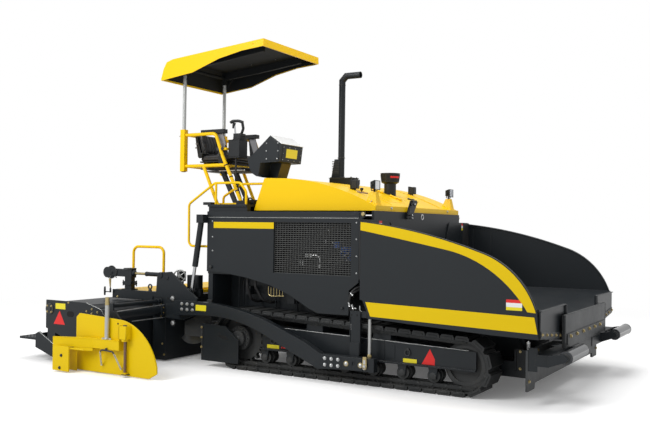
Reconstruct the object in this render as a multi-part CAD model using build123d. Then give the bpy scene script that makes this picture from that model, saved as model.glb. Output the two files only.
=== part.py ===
# Tracked asphalt paver: tractor with hopper, augers, operator's station and a floating screed.
# Millimetres.  +X points forward to the hopper, +Z up, +Y to the machine's left.
# Origin: on the ground, at the middle of the machine's length and width.
from math import asin, cos, hypot, pi, radians, sin, sqrt, tan
import os

from build123d import *

os.makedirs("parts", exist_ok=True)

# ---- crawler tracks -------------------------------------------------------------------------
track_y = 1100.0            # middle of each track
shoe_width = 300.0
shoe_count = 46
sprocket_x = -475.0
sprocket_r = 320.0          # over the shoes
idler_x = 2025.0
idler_r = 270.0             # over the shoes
shoe_plate = 22.0           # thickness of a shoe's plate
grouser = 16.0              # height of the rubber pad above the plate
shoe_gap = 10.0             # between two shoes
pad_margin = 4.0            # plate that shows beyond the pad's foot
pad_chamfer = 7.0
link_depth = 46.0           # height of the chain links under the plate
link_gap = 64.0             # clear width between the two link rails
link_width = 42.0           # thickness of one link rail
wheel_play = 1.0            # between the links and what they run on
wheel_width = 56.0          # sprocket, idler and rollers run between the link rails
roller_r = 62.0
roller_first_x = -150.0
roller_last_x = 1720.0
roller_count = 7

# ---- track frames ---------------------------------------------------------------------------
frame_width = 170.0
frame_bottom = 226.0
frame_back_x = -190.0
frame_front_x = 1800.0
frame_top_back = 470.0
frame_top_front = 412.0
flange_width = 230.0
flange_thick = 16.0
crossbeam_xs = (150.0, 1450.0)
crossbeam_size = 150.0

# ---- chassis --------------------------------------------------------------------------------
hull_back_x = -850.0
bulkhead_x = 1045.0         # front face of the hopper's rear wall
bulkhead_thick = 25.0
hull_y = track_y - 240.0    # outside of the hull's side walls
wall = 20.0
belly_z = 300.0
tunnel_floor_z = 470.0
tunnel_roof_z = 800.0
tunnel_y = 545.0            # half width of the conveyor tunnel
hull_top_z = 1000.0
hopper_front_x = 2600.0

# ---- body -----------------------------------------------------------------------------------
panel_y = track_y + 100.0   # outside of the side panels
panel_thick = 20.0
panel_back_x = -925.0
panel_front_x = 938.0
panel_top_z = 1650.0
deck_z = 1725.0
deck_thick = 25.0
deck_front_x = -412.0
hood_y = panel_y - 130.0
hood_wall = 25.0
hood_bottom_z = 1662.0
hood_back_x = -405.0
hood_crest_back = (-275.0, 2004.0)
hood_crest_mid = (18.0, 1996.0)
hood_slope_mid = (600.0, 1888.0)
hood_nose = (1045.0, 1706.0)

# ---- hopper wings ---------------------------------------------------------------------------
wing_y = panel_y + 200.0    # outside of the wings
wing_skin = 30.0
wing_back_x = 1062.0
wing_front_x = 2743.0
wing_hinge_y = 575.0
wing_hinge_z = 600.0
wing_fold_z = 830.0         # where the sloping floor meets the side wall
wing_floor_thick = 16.0
hinge_tube_r = 20.0
hinge_pin_r = 10.0

# ---- push rollers ---------------------------------------------------------------------------
push_axis_x = 2935.0
push_axis_z = 430.0
push_roller_r = 55.0
push_inner_y = 650.0
push_outer_y = panel_y + 50.0

# ---- screed and its arms --------------------------------------------------------------------
tow_pin_x = 1115.0
tow_pin_z = 212.0
track_clear = 12.0          # between a track and what stands beside it
arm_y = track_y + shoe_width / 2 + 50.0   # inside face of the tow arms
arm_thick = 75.0
auger_x = -1165.0
auger_z = 370.0
auger_r = 178.0
screed_front_x = -1415.0
screed_y = arm_y - 10.0


# ---- helpers --------------------------------------------------------------------------------
def block(x0, x1, y0, y1, z0, z1):
    """A rectangular block between two corners."""
    centre = Pos((x0 + x1) / 2, (y0 + y1) / 2, (z0 + z1) / 2)
    return centre * Box(abs(x1 - x0), abs(y1 - y0), abs(z1 - z0))


def round_bar(start, end, radius):
    """A round bar from one centre point to another."""
    a, b = Vector(*start), Vector(*end)
    return Solid.make_cylinder(radius, (b - a).length, Plane(origin=a, z_dir=(b - a).normalized()))


def side_plate(points, y0, y1):
    """A flat outline in X and Z, given thickness along Y."""
    outline = Polyline(*[(x, y0, z) for x, z in points], close=True)
    return extrude(make_face(outline), amount=y1 - y0, dir=(0, 1, 0))


def cross_plate(points, x0, x1):
    """A flat outline in Y and Z, given thickness along X."""
    outline = Polyline(*[(x0, y, z) for y, z in points], close=True)
    return extrude(make_face(outline), amount=x1 - x0, dir=(1, 0, 0))


def bent_tube(points, radius, bend):
    """A round tube along straight runs with rounded corners."""
    path = FilletPolyline(*points, radius=bend)
    start = Plane(origin=path @ 0, z_dir=path % 0)
    return sweep(start * Circle(radius), path=path)


def mirrored(shape):
    return mirror(shape, about=Plane.XZ)


def on_side(shape, side):
    """Shapes are drawn on the left (+Y); side -1 gives the right-hand one."""
    return shape if side > 0 else mirrored(shape)


def pair(*shapes):
    """The left shapes and their right-hand twins."""
    return [on_side(shape, side) for side in (1, -1) for shape in shapes]


def save(node, *shapes):
    """Write one node, moved so that the origin is at the middle of the machine."""
    solids = [Pos(-middle_x, 0, 0) * solid for shape in shapes for solid in shape.solids()]
    export_step(solids[0] if len(solids) == 1 else Compound(solids), f"parts/{node}.step")


SIDES = (("right", -1), ("left", 1))
step_back_x = -2870.0
middle_x = (push_axis_x + push_roller_r + step_back_x) / 2


# ---- tracks ---------------------------------------------------------------------------------
# The track runs round the sprocket and the idler, which stand on the same ground line.
wheel_base = idler_x - sprocket_x
wrap = 2 * asin((sprocket_r - idler_r) / hypot(wheel_base, sprocket_r - idler_r))
shoe_top = grouser + shoe_plate
link_inside = shoe_top + link_depth
pin_line = shoe_top + link_depth / 2
straight_run = wheel_base
front_turn = pi - wrap
rear_turn = pi + wrap
loop_length = 2 * straight_run + (idler_r - pin_line) * front_turn + (sprocket_r - pin_line) * rear_turn


def loop_point(travel, depth, offset=0.0):
    """Point on the track: travel along the pin line, depth in from the pads, offset along a shoe."""
    front_arc = (idler_r - pin_line) * front_turn
    travel = travel % loop_length
    if travel < straight_run:
        return sprocket_x + travel + offset, depth
    travel -= straight_run
    if travel < front_arc:
        turn = travel / (idler_r - pin_line) - pi / 2
        centre, radius = (idler_x, idler_r), idler_r - depth
    elif travel < front_arc + straight_run:
        turn = front_turn - pi / 2
        back = travel - front_arc + offset
        radius = idler_r - depth
        return (idler_x + radius * cos(turn) - back * sin(turn),
                idler_r + radius * sin(turn) + back * cos(turn))
    else:
        travel -= front_arc + straight_run
        turn = front_turn - pi / 2 + travel / (sprocket_r - pin_line)
        centre, radius = (sprocket_x, sprocket_r), sprocket_r - depth
    return (centre[0] + radius * cos(turn) - offset * sin(turn),
            centre[1] + radius * sin(turn) + offset * cos(turn))


def belt_outline(depth, y):
    """The smooth closed loop at one depth: two straight runs and two arcs."""
    front, rear = idler_r - depth, sprocket_r - depth
    high = front_turn - pi / 2
    bottom_rear, bottom_front = (sprocket_x, y, depth), (idler_x, y, depth)
    top_front = (idler_x + front * cos(high), y, idler_r + front * sin(high))
    top_rear = (sprocket_x + rear * cos(high), y, sprocket_r + rear * sin(high))
    run = Line(bottom_rear, bottom_front)
    nose = ThreePointArc(bottom_front, (idler_x + front, y, idler_r), top_front)
    back_run = Line(top_front, top_rear)
    tail = ThreePointArc(top_rear, (sprocket_x - rear, y, sprocket_r), bottom_rear)
    return make_face(Curve() + [run, nose, back_run, tail])


def track_loop():
    pitch = loop_length / shoe_count
    half = (pitch - shoe_gap) / 2
    pad_foot = half - pad_margin
    pad = pad_foot - pad_chamfer
    shape = ((-half, shoe_top), (-half, grouser), (-pad_foot, grouser), (-pad, 0.0),
             (pad, 0.0), (pad_foot, grouser), (half, grouser), (half, shoe_top))
    y0 = track_y - shoe_width / 2
    points = [loop_point(i * pitch + pitch / 2, depth, offset) for i in range(shoe_count) for offset,
              depth in shape]
    outline = make_face(Polyline(*[(x, y0, z) for x, z in points], close=True))
    ring = extrude(outline, amount=shoe_width, dir=(0, 1, 0))
    hollow = extrude(belt_outline(shoe_top + 4.0, y0), amount=shoe_width, dir=(0, 1, 0))
    ring -= hollow
    for side in (1, -1):
        inner = track_y + side * link_gap / 2
        low = min(inner, inner + side * link_width)
        rail = extrude(belt_outline(shoe_top, low), amount=link_width, dir=(0, 1, 0))
        rail -= extrude(belt_outline(link_inside, low), amount=link_width, dir=(0, 1, 0))
        ring += rail
    return ring


sprocket_teeth = 11
tooth_tip = 36.0
hub_r = 128.0
axle_r = 30.0
idler_tread = idler_r - link_inside - wheel_play
sprocket_root = sprocket_r - link_inside - wheel_play
fork_inside = 78.0


def sprocket():
    points = []
    for tooth in range(sprocket_teeth * 2):
        middle = pi * tooth / sprocket_teeth
        for turn, radius in ((-0.058, sprocket_root), (-0.034, sprocket_root + tooth_tip),
                             (0.034, sprocket_root + tooth_tip), (0.058, sprocket_root)):
            points.append((sprocket_x + radius * cos(middle + turn),
                           sprocket_r + radius * sin(middle + turn)))
    half = wheel_width / 2
    wheel = side_plate(points, track_y - half, track_y + half)
    centre = (sprocket_x, sprocket_r)
    hub = round_bar((centre[0], hull_y, centre[1]), (centre[0], track_y + 95.0, centre[1]), hub_r)
    cap = round_bar((centre[0], track_y + 95.0, centre[1]), (centre[0], track_y + 125.0, centre[1]),
                    hub_r * 0.62)
    return wheel + hub + cap


def idler():
    centre = (idler_x, idler_r)
    tread = round_bar((centre[0], track_y - 72.0, centre[1]), (centre[0], track_y + 72.0, centre[1]),
                      idler_tread)
    half = wheel_width / 2
    flange = round_bar((centre[0], track_y - half, centre[1]), (centre[0], track_y + half, centre[1]),
                       idler_tread + 30.0)
    axle = round_bar((centre[0], track_y - fork_inside, centre[1]),
                     (centre[0], track_y + fork_inside, centre[1]), axle_r)
    wheel = tread + flange + axle
    dish = Pos(centre[0], track_y + 72.0 - 12.5, centre[1]) * Rot(90, 0, 0) * Cylinder(idler_tread - 30.0,
                                                                                       25.0)
    ring = dish - round_bar((centre[0], track_y, centre[1]), (centre[0], track_y + 90.0, centre[1]), 70.0)
    return wheel - ring


roller_z = link_inside + wheel_play + roller_r
roller_step = (roller_last_x - roller_first_x) / (roller_count - 1)
roller_xs = [roller_first_x + i * roller_step for i in range(roller_count)]


def frame_top(x):
    slope = (frame_top_front - frame_top_back) / (frame_front_x - frame_back_x)
    return frame_top_back + slope * (x - frame_back_x)


fork_front_x = idler_x + 110.0
skid_xs = (430.0, 1180.0)
skid_length = 190.0


def upper_strand(x, depth):
    """Height of the upper run of the track at one place."""
    tilt = front_turn - pi / 2
    base = (sprocket_x + (sprocket_r - depth) * cos(tilt), sprocket_r + (sprocket_r - depth) * sin(tilt))
    return base[1] - (x - base[0]) / tan(tilt)


def track_frame():
    half = frame_width / 2
    profile = [(frame_back_x, frame_bottom), (frame_front_x, frame_bottom),
               (frame_front_x, frame_top(frame_front_x)), (frame_back_x, frame_top_back)]
    body = side_plate(profile, track_y - half, track_y + half)
    fork = [(frame_front_x - 60.0, frame_bottom), (fork_front_x, frame_bottom),
            (fork_front_x, frame_top(fork_front_x)), (frame_front_x - 60.0, frame_top(frame_front_x - 60.0))]
    for side in (1, -1):
        inner = track_y + side * fork_inside
        outer = inner + side * (half + 12.0 - fork_inside)
        body += side_plate(fork, min(inner, outer), max(inner, outer))
        edge = track_y + side * flange_width / 2
        body += block(frame_back_x, fork_front_x, inner, edge, frame_bottom, frame_bottom + flange_thick)
        for x in roller_xs:
            lug = side_plate([(x - 46.0, frame_bottom + 4.0), (x + 46.0, frame_bottom + 4.0),
                              (x + 30.0, roller_z - 26.0),
                              (x - 30.0, roller_z - 26.0)], min(inner, outer), max(inner, outer))
            body += lug
    for x in crossbeam_xs:
        reach = crossbeam_size / 2
        low = frame_bottom + 40.0
        body += block(x - reach, x + reach, hull_y, track_y - half, low, low + crossbeam_size)
    for x in skid_xs:
        ends = (x - skid_length / 2, x + skid_length / 2)
        top = [upper_strand(end, link_inside + wheel_play) for end in ends]
        pad = side_plate([(ends[0], frame_top(ends[0]) - 6.0), (ends[1], frame_top(ends[1]) - 6.0),
                          (ends[1], top[1]), (ends[0] + 8.0, top[0])], track_y - 70.0, track_y + 70.0)
        body += pad
    return body


def rollers():
    shapes = []
    for x in roller_xs:
        half = fork_inside - 2.0
        tread = round_bar((x, track_y - half, roller_z), (x, track_y + half, roller_z), roller_r)
        groove = round_bar((x, track_y - 26.0, roller_z), (x, track_y + 26.0, roller_z), roller_r + 12.0)
        pin = round_bar((x, track_y - fork_inside, roller_z), (x, track_y + fork_inside, roller_z), 16.0)
        shapes.append(tread + groove + pin)
    return shapes


for name, side in SIDES:
    save(f"track_{name}", on_side(track_loop(), side))
save("track_frames", *pair(track_frame()))
save("track_wheels", *pair(sprocket(), idler(), *rollers()))


# ---- hull with the conveyor tunnel ----------------------------------------------------------
sill_z = wing_hinge_z - 45.0
hull_front_x = bulkhead_x - bulkhead_thick
tunnel_out_y = tunnel_y + wall


def hull():
    body = block(hull_back_x, hull_front_x, -hull_y, hull_y, belly_z, hull_top_z)
    body -= block(hull_back_x - 1, hull_front_x + 1, -tunnel_y, tunnel_y, tunnel_floor_z, tunnel_roof_z)
    inner_back = hull_back_x + wall
    for side in (1, -1):
        near, far = side * tunnel_out_y, side * (hull_y - wall)
        body -= block(inner_back, hull_front_x + 1, min(near, far), max(near, far), belly_z + wall,
                      hull_top_z - wall)
    body -= block(inner_back, hull_front_x + 1, -tunnel_y, tunnel_y, belly_z + wall, tunnel_floor_z - wall)
    body -= block(inner_back, hull_front_x + 1, -tunnel_y, tunnel_y, tunnel_roof_z + wall, hull_top_z - wall)
    nose = block(hull_front_x, hopper_front_x, -tunnel_out_y, tunnel_out_y, belly_z, sill_z)
    nose -= block(hull_front_x - 1, hopper_front_x + 1, -tunnel_y, tunnel_y, tunnel_floor_z, sill_z + 1)
    nose -= block(hull_front_x - 1, hopper_front_x + 1, -tunnel_y, tunnel_y, belly_z + wall,
                  tunnel_floor_z - wall)
    return body + nose


save("hull", hull())


# ---- conveyor: two slat chains side by side on the tunnel floor ------------------------------
slat_pitch = 210.0
slat_height = 32.0
slat_width = 60.0
conveyor_back_x = hull_back_x - 60.0
divider_y = 24.0


def conveyor(side):
    inner, outer = divider_y + 6.0, tunnel_y - 8.0
    front = hopper_front_x - 60.0
    lane = block(conveyor_back_x + 60.0, front, side * inner, side * outer, tunnel_floor_z,
                 tunnel_floor_z + 8.0)
    for i in range(int((front - conveyor_back_x - 120.0) / slat_pitch)):
        x = conveyor_back_x + 100.0 + i * slat_pitch
        lane += block(x, x + slat_width, side * inner, side * outer, tunnel_floor_z + 4.0,
                      tunnel_floor_z + slat_height)
    return lane


def divider():
    """The roof-shaped cover between the two conveyors."""
    z = tunnel_floor_z
    outline = [(-divider_y, z), (divider_y, z), (divider_y, z + 60.0), (0.0, z + 90.0),
               (-divider_y, z + 60.0)]
    return cross_plate(outline, hull_back_x, hopper_front_x - 60.0)


save("conveyors", conveyor(1), conveyor(-1), divider())


# ---- bulkhead, body frame and inner masses --------------------------------------------------
bulkhead_y = panel_y - 103.0
bulkhead_top_z = hood_bottom_z
bulkhead_low_z = 660.0
floor_thick = 20.0
post = 60.0
rail_low_z = 1600.0


def bulkhead():
    x0, x1 = hull_front_x, bulkhead_x
    plate = block(x0, x1, -bulkhead_y, bulkhead_y, bulkhead_low_z, bulkhead_top_z)
    plate += block(x0, x1, -tunnel_out_y - 100.0, tunnel_out_y + 100.0, sill_z, bulkhead_low_z)
    plate -= block(x0 - 1, x1 + 1, -tunnel_y, tunnel_y, tunnel_floor_z, tunnel_roof_z)
    return plate


def body_frame():
    inside = panel_y - panel_thick
    frame = block(panel_back_x, hull_front_x, hull_y, inside, hull_top_z - floor_thick, hull_top_z)
    for x in (panel_back_x, deck_front_x - post, panel_front_x - post):
        frame += block(x, x + post, inside - post, inside, hull_top_z, rail_low_z)
    frame += block(panel_back_x, panel_front_x, inside - post, inside, rail_low_z, panel_top_z)
    rear_post = block(panel_back_x + 8.0, panel_back_x + 8.0 + post, inside - post, inside, 640.0,
                      hull_top_z - floor_thick)
    foot = block(panel_back_x + 8.0, panel_back_x + 8.0 + post, hull_y, inside - post, 640.0, 700.0)
    return frame + rear_post + foot


tank_front_x = -90.0


def tank():
    return block(panel_back_x + post + 2.0, tank_front_x, hull_y - 300.0, panel_y - panel_thick - post - 4.0,
                 hull_top_z, deck_z - deck_thick - 60.0)


cooler_x0, cooler_x1 = -30.0, 860.0
cooler_out_y, cooler_in_y = panel_y - 190.0, panel_y - 300.0
cooler_top_z = 1585.0


def cooler():
    return block(cooler_x0, cooler_x1, cooler_in_y, cooler_out_y, hull_top_z, cooler_top_z)


def engine():
    return block(20.0, 900.0, -380.0, 380.0, hull_top_z, 1600.0)


rear_sheet = 12.0


def rear_panel():
    """Sheet that closes the body behind the tanks, between the rear posts."""
    reach = panel_y - panel_thick - post
    return block(panel_back_x, panel_back_x + rear_sheet, -reach, reach, hull_top_z, panel_top_z)


save("rear_panel", rear_panel())
save("bulkhead", bulkhead())
save("inner_units", engine(), *pair(tank(), cooler()))


# ---- side panels with a grille window --------------------------------------------------------
grille_back_x, grille_front_x = -57.0, 850.0
grille_low_z, grille_top_z = 1023.0, 1540.0
grille_thick = 4.0
grille_border = 14.0       # the screen's overlap behind the window's edge
notch_x = 833.0


def side_panel():
    top = panel_top_z
    outline = [(panel_back_x, 1004.0), (panel_back_x, top), (panel_front_x, top), (panel_front_x, 965.0),
               (notch_x, 884.0), (notch_x, 643.0), (480.0, 641.0), (375.0, 683.0), (145.0, 804.0),
               (-108.0, 896.0), (-418.0, 960.0), (-704.0, 996.0)]
    plate = side_plate(outline, panel_y - panel_thick, panel_y)
    return plate - block(grille_back_x, grille_front_x, panel_y - panel_thick - 1, panel_y + 1, grille_low_z,
                         grille_top_z)


def side_screen():
    """Screen behind the panel's window, in front of the coolers."""
    inside = panel_y - panel_thick
    x0, x1 = grille_back_x - grille_border, grille_front_x + grille_border
    return block(x0, x1, inside - grille_thick, inside, grille_low_z - grille_border,
                 grille_top_z + grille_border)


save("side_panels", *pair(side_panel()))
save("side_screens", *pair(side_screen()))


# ---- deck and hood --------------------------------------------------------------------------
def deck():
    plate = block(panel_back_x, deck_front_x, -panel_y, panel_y, deck_z - deck_thick, deck_z)
    for side in (1, -1):
        plate += block(panel_back_x, deck_front_x, side * (panel_y - panel_thick),
                       side * (panel_y - panel_thick - post),
                       panel_top_z, deck_z - deck_thick)
    plate += block(panel_back_x, panel_back_x + 20.0, -panel_y + panel_thick, panel_y - panel_thick,
                   panel_top_z, deck_z - deck_thick)
    return plate


def hood_outline(y, inset):
    """Side view of the hood: a raked back, a flat crest and a long slope that falls to the nose."""
    low = hood_bottom_z - (60.0 if inset else 0.0)
    back = (hood_back_x + inset, y, low)
    back_low = (hood_back_x + inset, y, hood_bottom_z)
    crest_back = (hood_crest_back[0] + inset * 0.7, y, hood_crest_back[1] - inset)
    crest_mid = (hood_crest_mid[0], y, hood_crest_mid[1] - inset)
    slope_mid = (hood_slope_mid[0], y, hood_slope_mid[1] - inset)
    nose = (hood_nose[0] - inset, y, hood_nose[1] - inset * 0.9)
    lip = (hood_nose[0] - inset, y, low)
    edges = [Line(back_low, crest_back), Line(crest_back, crest_mid),
             ThreePointArc(crest_mid, slope_mid, nose),
             Line(nose, lip), Line(lip, back)]
    if inset:
        edges.append(Line(back, back_low))
    return make_face(Curve() + edges)


lid_x0, lid_x1 = 470.0, 940.0
lid_y0, lid_y1 = -560.0, -160.0
lid_reach_z = 120.0
lid_gap = 5.0


def hood():
    shell = extrude(hood_outline(-hood_y, 0.0), amount=2 * hood_y, dir=(0, 1, 0))
    inside = hood_y - hood_wall
    shell -= extrude(hood_outline(-inside, hood_wall), amount=2 * inside, dir=(0, 1, 0))
    return shell


hood_shell = hood()
hood_block = extrude(hood_outline(-hood_y, 0.0), amount=2 * hood_y, dir=(0, 1, 0))
seat_play = 0.3            # under what stands on the curved hood
hood_seat = hood_block + Pos(0, 0, seat_play) * hood_block


def slope_z(x):
    """Height of the hood's arched slope."""
    a, b, c = hood_crest_mid, hood_slope_mid, hood_nose
    ax, az, bx, bz = b[0] - a[0], b[1] - a[1], c[0] - a[0], c[1] - a[1]
    d = 2 * (ax * bz - az * bx)
    ux = (bz * (ax * ax + az * az) - az * (bx * bx + bz * bz)) / d
    uz = (ax * (bx * bx + bz * bz) - bx * (ax * ax + az * az)) / d
    return a[1] + uz + sqrt(ux * ux + uz * uz - (x - a[0] - ux) ** 2)


# The lid's hinge line lies along the slope, on knuckles above the sheet.
knuckle_r = 9.0
hinge_x0, hinge_x1 = lid_x0 + 60.0, lid_x1 - 60.0
lid_chord = hypot(hinge_x1 - hinge_x0, slope_z(hinge_x0) - slope_z(hinge_x1))
lid_forward = ((hinge_x1 - hinge_x0) / lid_chord, 0, (slope_z(hinge_x1) - slope_z(hinge_x0)) / lid_chord)


def lid_column(grow):
    """The lid's cut, square to the slope, so that its ends swing clear."""
    lid_mid_x, lid_mid_y = (lid_x0 + lid_x1) / 2, (lid_y0 + lid_y1) / 2
    lid_up = (-lid_forward[2], 0, lid_forward[0])
    place = Plane(origin=(lid_mid_x, lid_mid_y, slope_z(lid_mid_x)), x_dir=lid_forward, z_dir=lid_up)
    return place * Box(lid_x1 - lid_x0 + 2 * grow, lid_y1 - lid_y0 + 2 * grow, 2 * lid_reach_z)


hood_lid = hood_shell & lid_column(0.0)
hood_shell -= lid_column(lid_gap)
hinge_lift = knuckle_r - 2.0
lid_hinge_y = lid_y1 + lid_gap / 2


def hinge_point(x):
    share = (x - hinge_x0) / (hinge_x1 - hinge_x0)
    z = slope_z(hinge_x0) * (1 - share) + slope_z(hinge_x1) * share
    return (x, lid_hinge_y, z + hinge_lift + 12.0)


knuckle = 44.0
leaf_inset = 5.0
for x in (hinge_x0, hinge_x1 - 3 * knuckle):
    for step, owner in ((0, "hood"), (1, "lid"), (2, "hood")):
        start, end = hinge_point(x + step * knuckle + 0.2), hinge_point(x + (step + 1) * knuckle - 0.2)
        barrel = round_bar(start, end, knuckle_r)
        y0, y1 = (lid_hinge_y, lid_hinge_y + 40.0) if owner == "hood" else (lid_hinge_y - 40.0, lid_hinge_y)
        a, b = start[0] + leaf_inset, end[0] - leaf_inset
        leaf = side_plate([(a, start[2] - 34.0), (b, end[2] - 34.0), (b, end[2]), (a, start[2])], y0, y1)
        if owner == "hood":
            hood_shell += barrel + leaf
        else:
            hood_lid += barrel + leaf

# Square work lamps, each on a tapered stand that is part of the hood.
lamp_x, lamp_y, lamp_z = 942.0, hood_y - 120.0, 1872.0     # back edge, middle and underside
lamp_depth, lamp_width, lamp_height = 55.0, 110.0, 90.0
lamp_bezel = 8.0
stand_top_z = 1850.0
stand_foot_x0, stand_foot_x1 = 880.0, 1022.0
stand_half, stand_foot_half = 28.0, 52.0
stud_r = 10.0


def work_lamp():
    """Lamp body that narrows to its back, its bezel in front and the stud it stands on."""
    half, front = lamp_width / 2, lamp_x + lamp_depth
    middle = lamp_z + lamp_height / 2
    face = Plane(origin=(front - lamp_bezel, lamp_y, middle), x_dir=(0, 1, 0), z_dir=(1, 0, 0))
    back = Plane(origin=(lamp_x, lamp_y, middle), x_dir=(0, 1, 0), z_dir=(1, 0, 0))
    body = loft([back * Rectangle(lamp_width * 0.7, lamp_height * 0.7),
                 face * Rectangle(lamp_width, lamp_height)])
    body += block(front - lamp_bezel - 0.5, front, lamp_y - half, lamp_y + half, lamp_z, lamp_z + lamp_height)
    stud_x = lamp_x + lamp_depth / 2
    return body + round_bar((stud_x, lamp_y, stand_top_z), (stud_x, lamp_y, lamp_z + 20.0), stud_r)


def lamp_stand():
    foot_z = slope_z(stand_foot_x1) - 8.0
    foot = Plane(origin=((stand_foot_x0 + stand_foot_x1) / 2, lamp_y, foot_z), z_dir=(0, 0, 1))
    top = Plane(origin=(lamp_x + lamp_depth / 2, lamp_y, stand_top_z), z_dir=(0, 0, 1))
    return loft([foot * Rectangle(stand_foot_x1 - stand_foot_x0, 2 * stand_foot_half),
                 top * Rectangle(lamp_depth, 2 * stand_half)])


for stand in pair(lamp_stand()):
    hood_shell += stand - Pos(0, 0, -hood_wall / 2) * hood_block

save("deck", deck())
save("hood", hood_shell)
save("hood_lid", hood_lid)


# ---- hopper wings, folding about a line along X ----------------------------------------------
wing_inner_y = wing_y - wing_skin
floor_rise = wing_fold_z - wing_hinge_z
floor_run = wing_inner_y - wing_hinge_y
wing_front_thick = 14.0
wing_lip_x = wing_front_x + wing_front_thick


def wing_wall():
    """The tall side: straight back edge, a crown that arcs over and down to the front."""
    y0 = wing_inner_y
    point = lambda x, z: (x, y0, z)
    edges = [Line(point(wing_back_x, 823.0), point(wing_back_x, 1557.0)),
             ThreePointArc(point(wing_back_x, 1557.0), point(1680.0, 1458.0), point(2236.0, 1300.0)),
             ThreePointArc(point(2236.0, 1300.0), point(2584.0, 1073.0), point(2735.0, 801.0)),
             Polyline(point(2735.0, 801.0), point(wing_front_x, 582.0), point(2345.0, 591.0),
                      point(1162.0, 653.0), point(1092.0, 818.0), point(wing_back_x, 823.0))]
    return extrude(make_face(Curve() + edges), amount=wing_skin, dir=(0, 1, 0))


def floor_z(y):
    return wing_hinge_z + (y - wing_hinge_y) * floor_rise / floor_run


hinge_blocks = ((1110.0, 1290.0), (1700.0, 1880.0), (2330.0, 2510.0))
ear_gap = 5.0
ear_thick = 14.0
pin_play = 0.3
wing_root_y = wing_hinge_y + 30.0


pocket_x, pocket_y = 1155.0, arm_y - 88.0      # the recess that clears the tow cylinder
pocket_top_z = 985.0
pocket_wall = 10.0


def wing():
    t = wing_floor_thick
    outline = [(wing_root_y, floor_z(wing_root_y)), (wing_inner_y + 1, wing_fold_z),
               (wing_inner_y + 1, wing_fold_z - t), (wing_root_y, floor_z(wing_root_y) - t)]
    body = wing_wall() + cross_plate(outline, wing_back_x, wing_front_x)
    lip = [(wing_root_y, 500.0), (wing_inner_y + 1, 585.0), (wing_inner_y + 1, 820.0), (wing_root_y, 828.0)]
    body += cross_plate(lip, wing_front_x - 2, wing_lip_x)
    rib = [(wing_root_y + 60.0, floor_z(wing_root_y + 60.0) - 8), (wing_inner_y + 1, wing_fold_z - 8),
           (wing_inner_y + 1, 668.0), (wing_root_y + 260.0, floor_z(wing_root_y + 260.0) - 50.0)]
    for x in (1250.0, 2330.0, 2560.0):
        body += cross_plate(rib, x, x + 16.0)
    body -= block(wing_back_x - 1, pocket_x, pocket_y, wing_inner_y, wing_hinge_z, wing_fold_z + 2.0)
    body += block(pocket_x, pocket_x + pocket_wall, pocket_y - pocket_wall, wing_inner_y + 1,
                  floor_z(pocket_y) - 16.0, pocket_top_z)
    body += block(wing_back_x, pocket_x + 1, pocket_y - pocket_wall, pocket_y, floor_z(pocket_y) - 16.0,
                  pocket_top_z)
    body += block(wing_back_x, pocket_x + pocket_wall, pocket_y - pocket_wall, wing_inner_y + 1,
                  pocket_top_z - pocket_wall, pocket_top_z)
    for x0, x1 in hinge_blocks:
        tube = round_bar((x0, wing_hinge_y, wing_hinge_z), (x1, wing_hinge_y, wing_hinge_z), hinge_tube_r)
        tube -= round_bar((x0 - 1, wing_hinge_y, wing_hinge_z), (x1 + 1, wing_hinge_y, wing_hinge_z),
                          hinge_pin_r + pin_play)
        body += tube
        body += block(x0, x1, wing_hinge_y + hinge_tube_r - 4, wing_root_y + 14.0, wing_hinge_z - 14.0,
                      wing_hinge_z + 4.0)
    return body


def wing_pins():
    """Fixed ears and pins that carry each wing's hinge tubes."""
    shapes = []
    for x0, x1 in hinge_blocks:
        a, b = x0 - ear_gap - ear_thick, x1 + ear_gap + ear_thick
        pin = round_bar((a, wing_hinge_y, wing_hinge_z), (b, wing_hinge_y, wing_hinge_z), hinge_pin_r)
        for ear_x in (a, b - ear_thick):
            pin += block(ear_x, ear_x + ear_thick, tunnel_out_y, wing_hinge_y + 14.0, sill_z - 80.0,
                         wing_hinge_z + 14.0)
        shapes.append(pin)
    return shapes


# wing cylinders: barrel on the hull, rod's eye beside a lug under the wing's floor
cyl_x = 2440.0
cyl_base = (tunnel_out_y + 45.0, 350.0)
cyl_eye = (1070.0, 672.0)
barrel_r, rod_r, eye_r = 36.0, 18.0, 28.0
barrel_reach = 350.0
cyl_pin_r = 14.0


def along(start, end, distance):
    a, b = Vector(*start), Vector(*end)
    point = a + (b - a).normalized() * distance
    return (point.X, point.Y, point.Z)


def cylinder_barrel(base, eye, reach):
    """Barrel from its base pin towards the rod's eye, bored for the rod."""
    end = along(base, eye, reach)
    mouth = along(base, eye, reach + 1)
    inner = along(base, eye, 40.0)
    return round_bar(base, end, barrel_r) - round_bar(inner, mouth, rod_r + pin_play)


def cylinder_rod(base, eye, reach):
    inside = along(base, eye, reach - 40.0)
    return round_bar(inside, eye, rod_r)


def wing_barrel():
    base = (cyl_x, *cyl_base)
    body = cylinder_barrel(base, (cyl_x, *cyl_eye), barrel_reach)
    body += round_bar((cyl_x - 30, *cyl_base), (cyl_x + 30, *cyl_base), eye_r)
    return body - round_bar((cyl_x - 40, *cyl_base), (cyl_x + 40, *cyl_base), cyl_pin_r + pin_play)


def wing_rod():
    base = (cyl_x, *cyl_base)
    body = cylinder_rod(base, (cyl_x, *cyl_eye), barrel_reach)
    return body + round_bar((cyl_x - 25, *cyl_eye), (cyl_x + 25, *cyl_eye), eye_r)


def wing_cylinder_mount():
    a, b = cyl_x - 52.0, cyl_x + 52.0
    body = round_bar((a, *cyl_base), (b, *cyl_base), cyl_pin_r)
    for x in (a, b - 14.0):
        body += block(x, x + 14.0, tunnel_out_y, cyl_base[0] + 24.0, cyl_base[1] - 30.0, cyl_base[1] + 30.0)
    return body


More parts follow.
